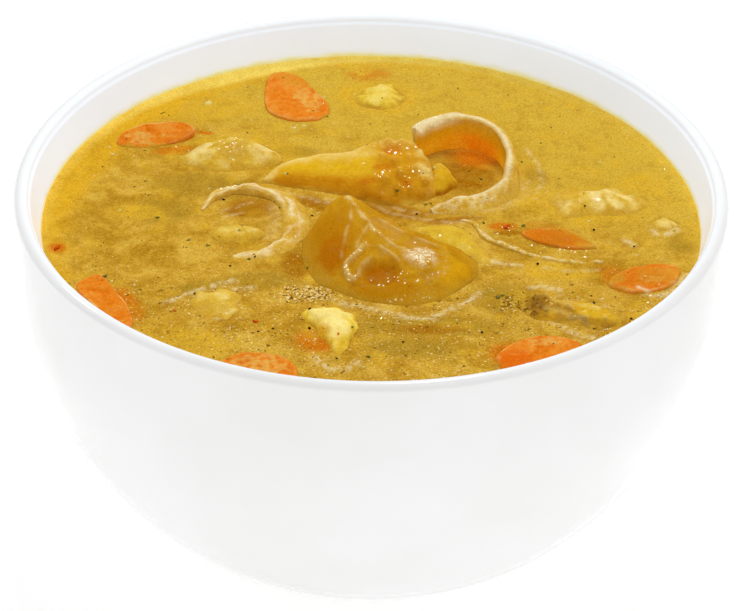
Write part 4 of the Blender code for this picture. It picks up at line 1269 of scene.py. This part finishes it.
# Matt white paper, evenly lit: its fibre is too faint to see as more than a soft tooth.
paper, tree, shader, place = material("white_paper", Roughness=0.9, Emission_Strength=0.33)
fibre = add(tree, "TexNoise", {"Vector": place, "Scale": 1 / (2 * MM), "Detail": 2.0})
feed(shader, {
    "Base Color": add(tree, "ValToRGB", {"Fac": fibre}, stops=[(0.3, "#f3f3f3"), (0.7, "#f7f7f7")]),
    "Emission Color": linear("#ffffff")})
mesh.materials.append(paper)

world = bpy.data.worlds.new("studio")
world.use_nodes = True
bpy.context.scene.world = world
tree = world.node_tree
sky = add(tree, "SeparateXYZ", {0: add(tree, "TexCoord", out="Generated")}, "Z")
fade = add(tree, "MapRange", {
    "Value": sky, "From Min": 0.1, "From Max": 0.9, "To Min": 1.0, "To Max": 0.5},
    interpolation_type="SMOOTHSTEP")
dim = add(tree, "MapRange", {
    "Value": add(tree, "LightPath", out="Is Glossy Ray"), "To Min": 1.0, "To Max": 0.12})
feed(tree.nodes["Background"], {
    "Color": linear("#ffffff"), "Strength": add(tree, "Math", {0: fade, 1: dim}, operation="MULTIPLY")})


def lamp(name, place, size, watts, **seen_by):
    """A square soft lamp, facing the middle of the broth. It can be hidden from shine, or add only shine."""
    light = bpy.data.lights.new(name, "AREA")
    light.size = size
    light.energy = watts
    made = bpy.data.objects.new(name, light)
    bpy.context.scene.collection.objects.link(made)
    made.location = place
    made.rotation_euler = (Vector((0, 0, LEVEL * MM)) - Vector(place)).to_track_quat("-Z", "Y").to_euler()
    for kind, seen in seen_by.items():
        setattr(made, kind, seen)


lamp("key", (0.1, 0.4, 1.0), size=0.3, watts=4.8, visible_glossy=False)
lamp("front", (0, -1.3, 0.5), size=0.8, watts=1.1, visible_glossy=False)
lamp("spark", (0.08, 0.5, 0.9), size=0.05, watts=7.0, visible_diffuse=False)
lamp("side_spark", (-0.4, 0.45, 0.7), size=0.04, watts=2.0, visible_diffuse=False)

DISTANCE = 0.6
ELEVATION = math.radians(34.3)
ROLL = math.radians(0.77)
AIM = 49.1 * MM             # height of the point on the bowl's axis that the camera looks at
camera = bpy.data.objects.new("camera", bpy.data.cameras.new("camera"))
bpy.context.scene.collection.objects.link(camera)
bpy.context.scene.camera = camera
camera.data.lens = 125.7
camera.data.clip_start = 0.05
camera.location = (0, -DISTANCE * math.cos(ELEVATION), AIM + DISTANCE * math.sin(ELEVATION))
camera.rotation_euler = (
    Matrix.Rotation(math.pi / 2 - ELEVATION, 3, "X") @ Matrix.Rotation(ROLL, 3, "Z")).to_euler()
bpy.context.scene.view_settings.view_transform = "Standard"
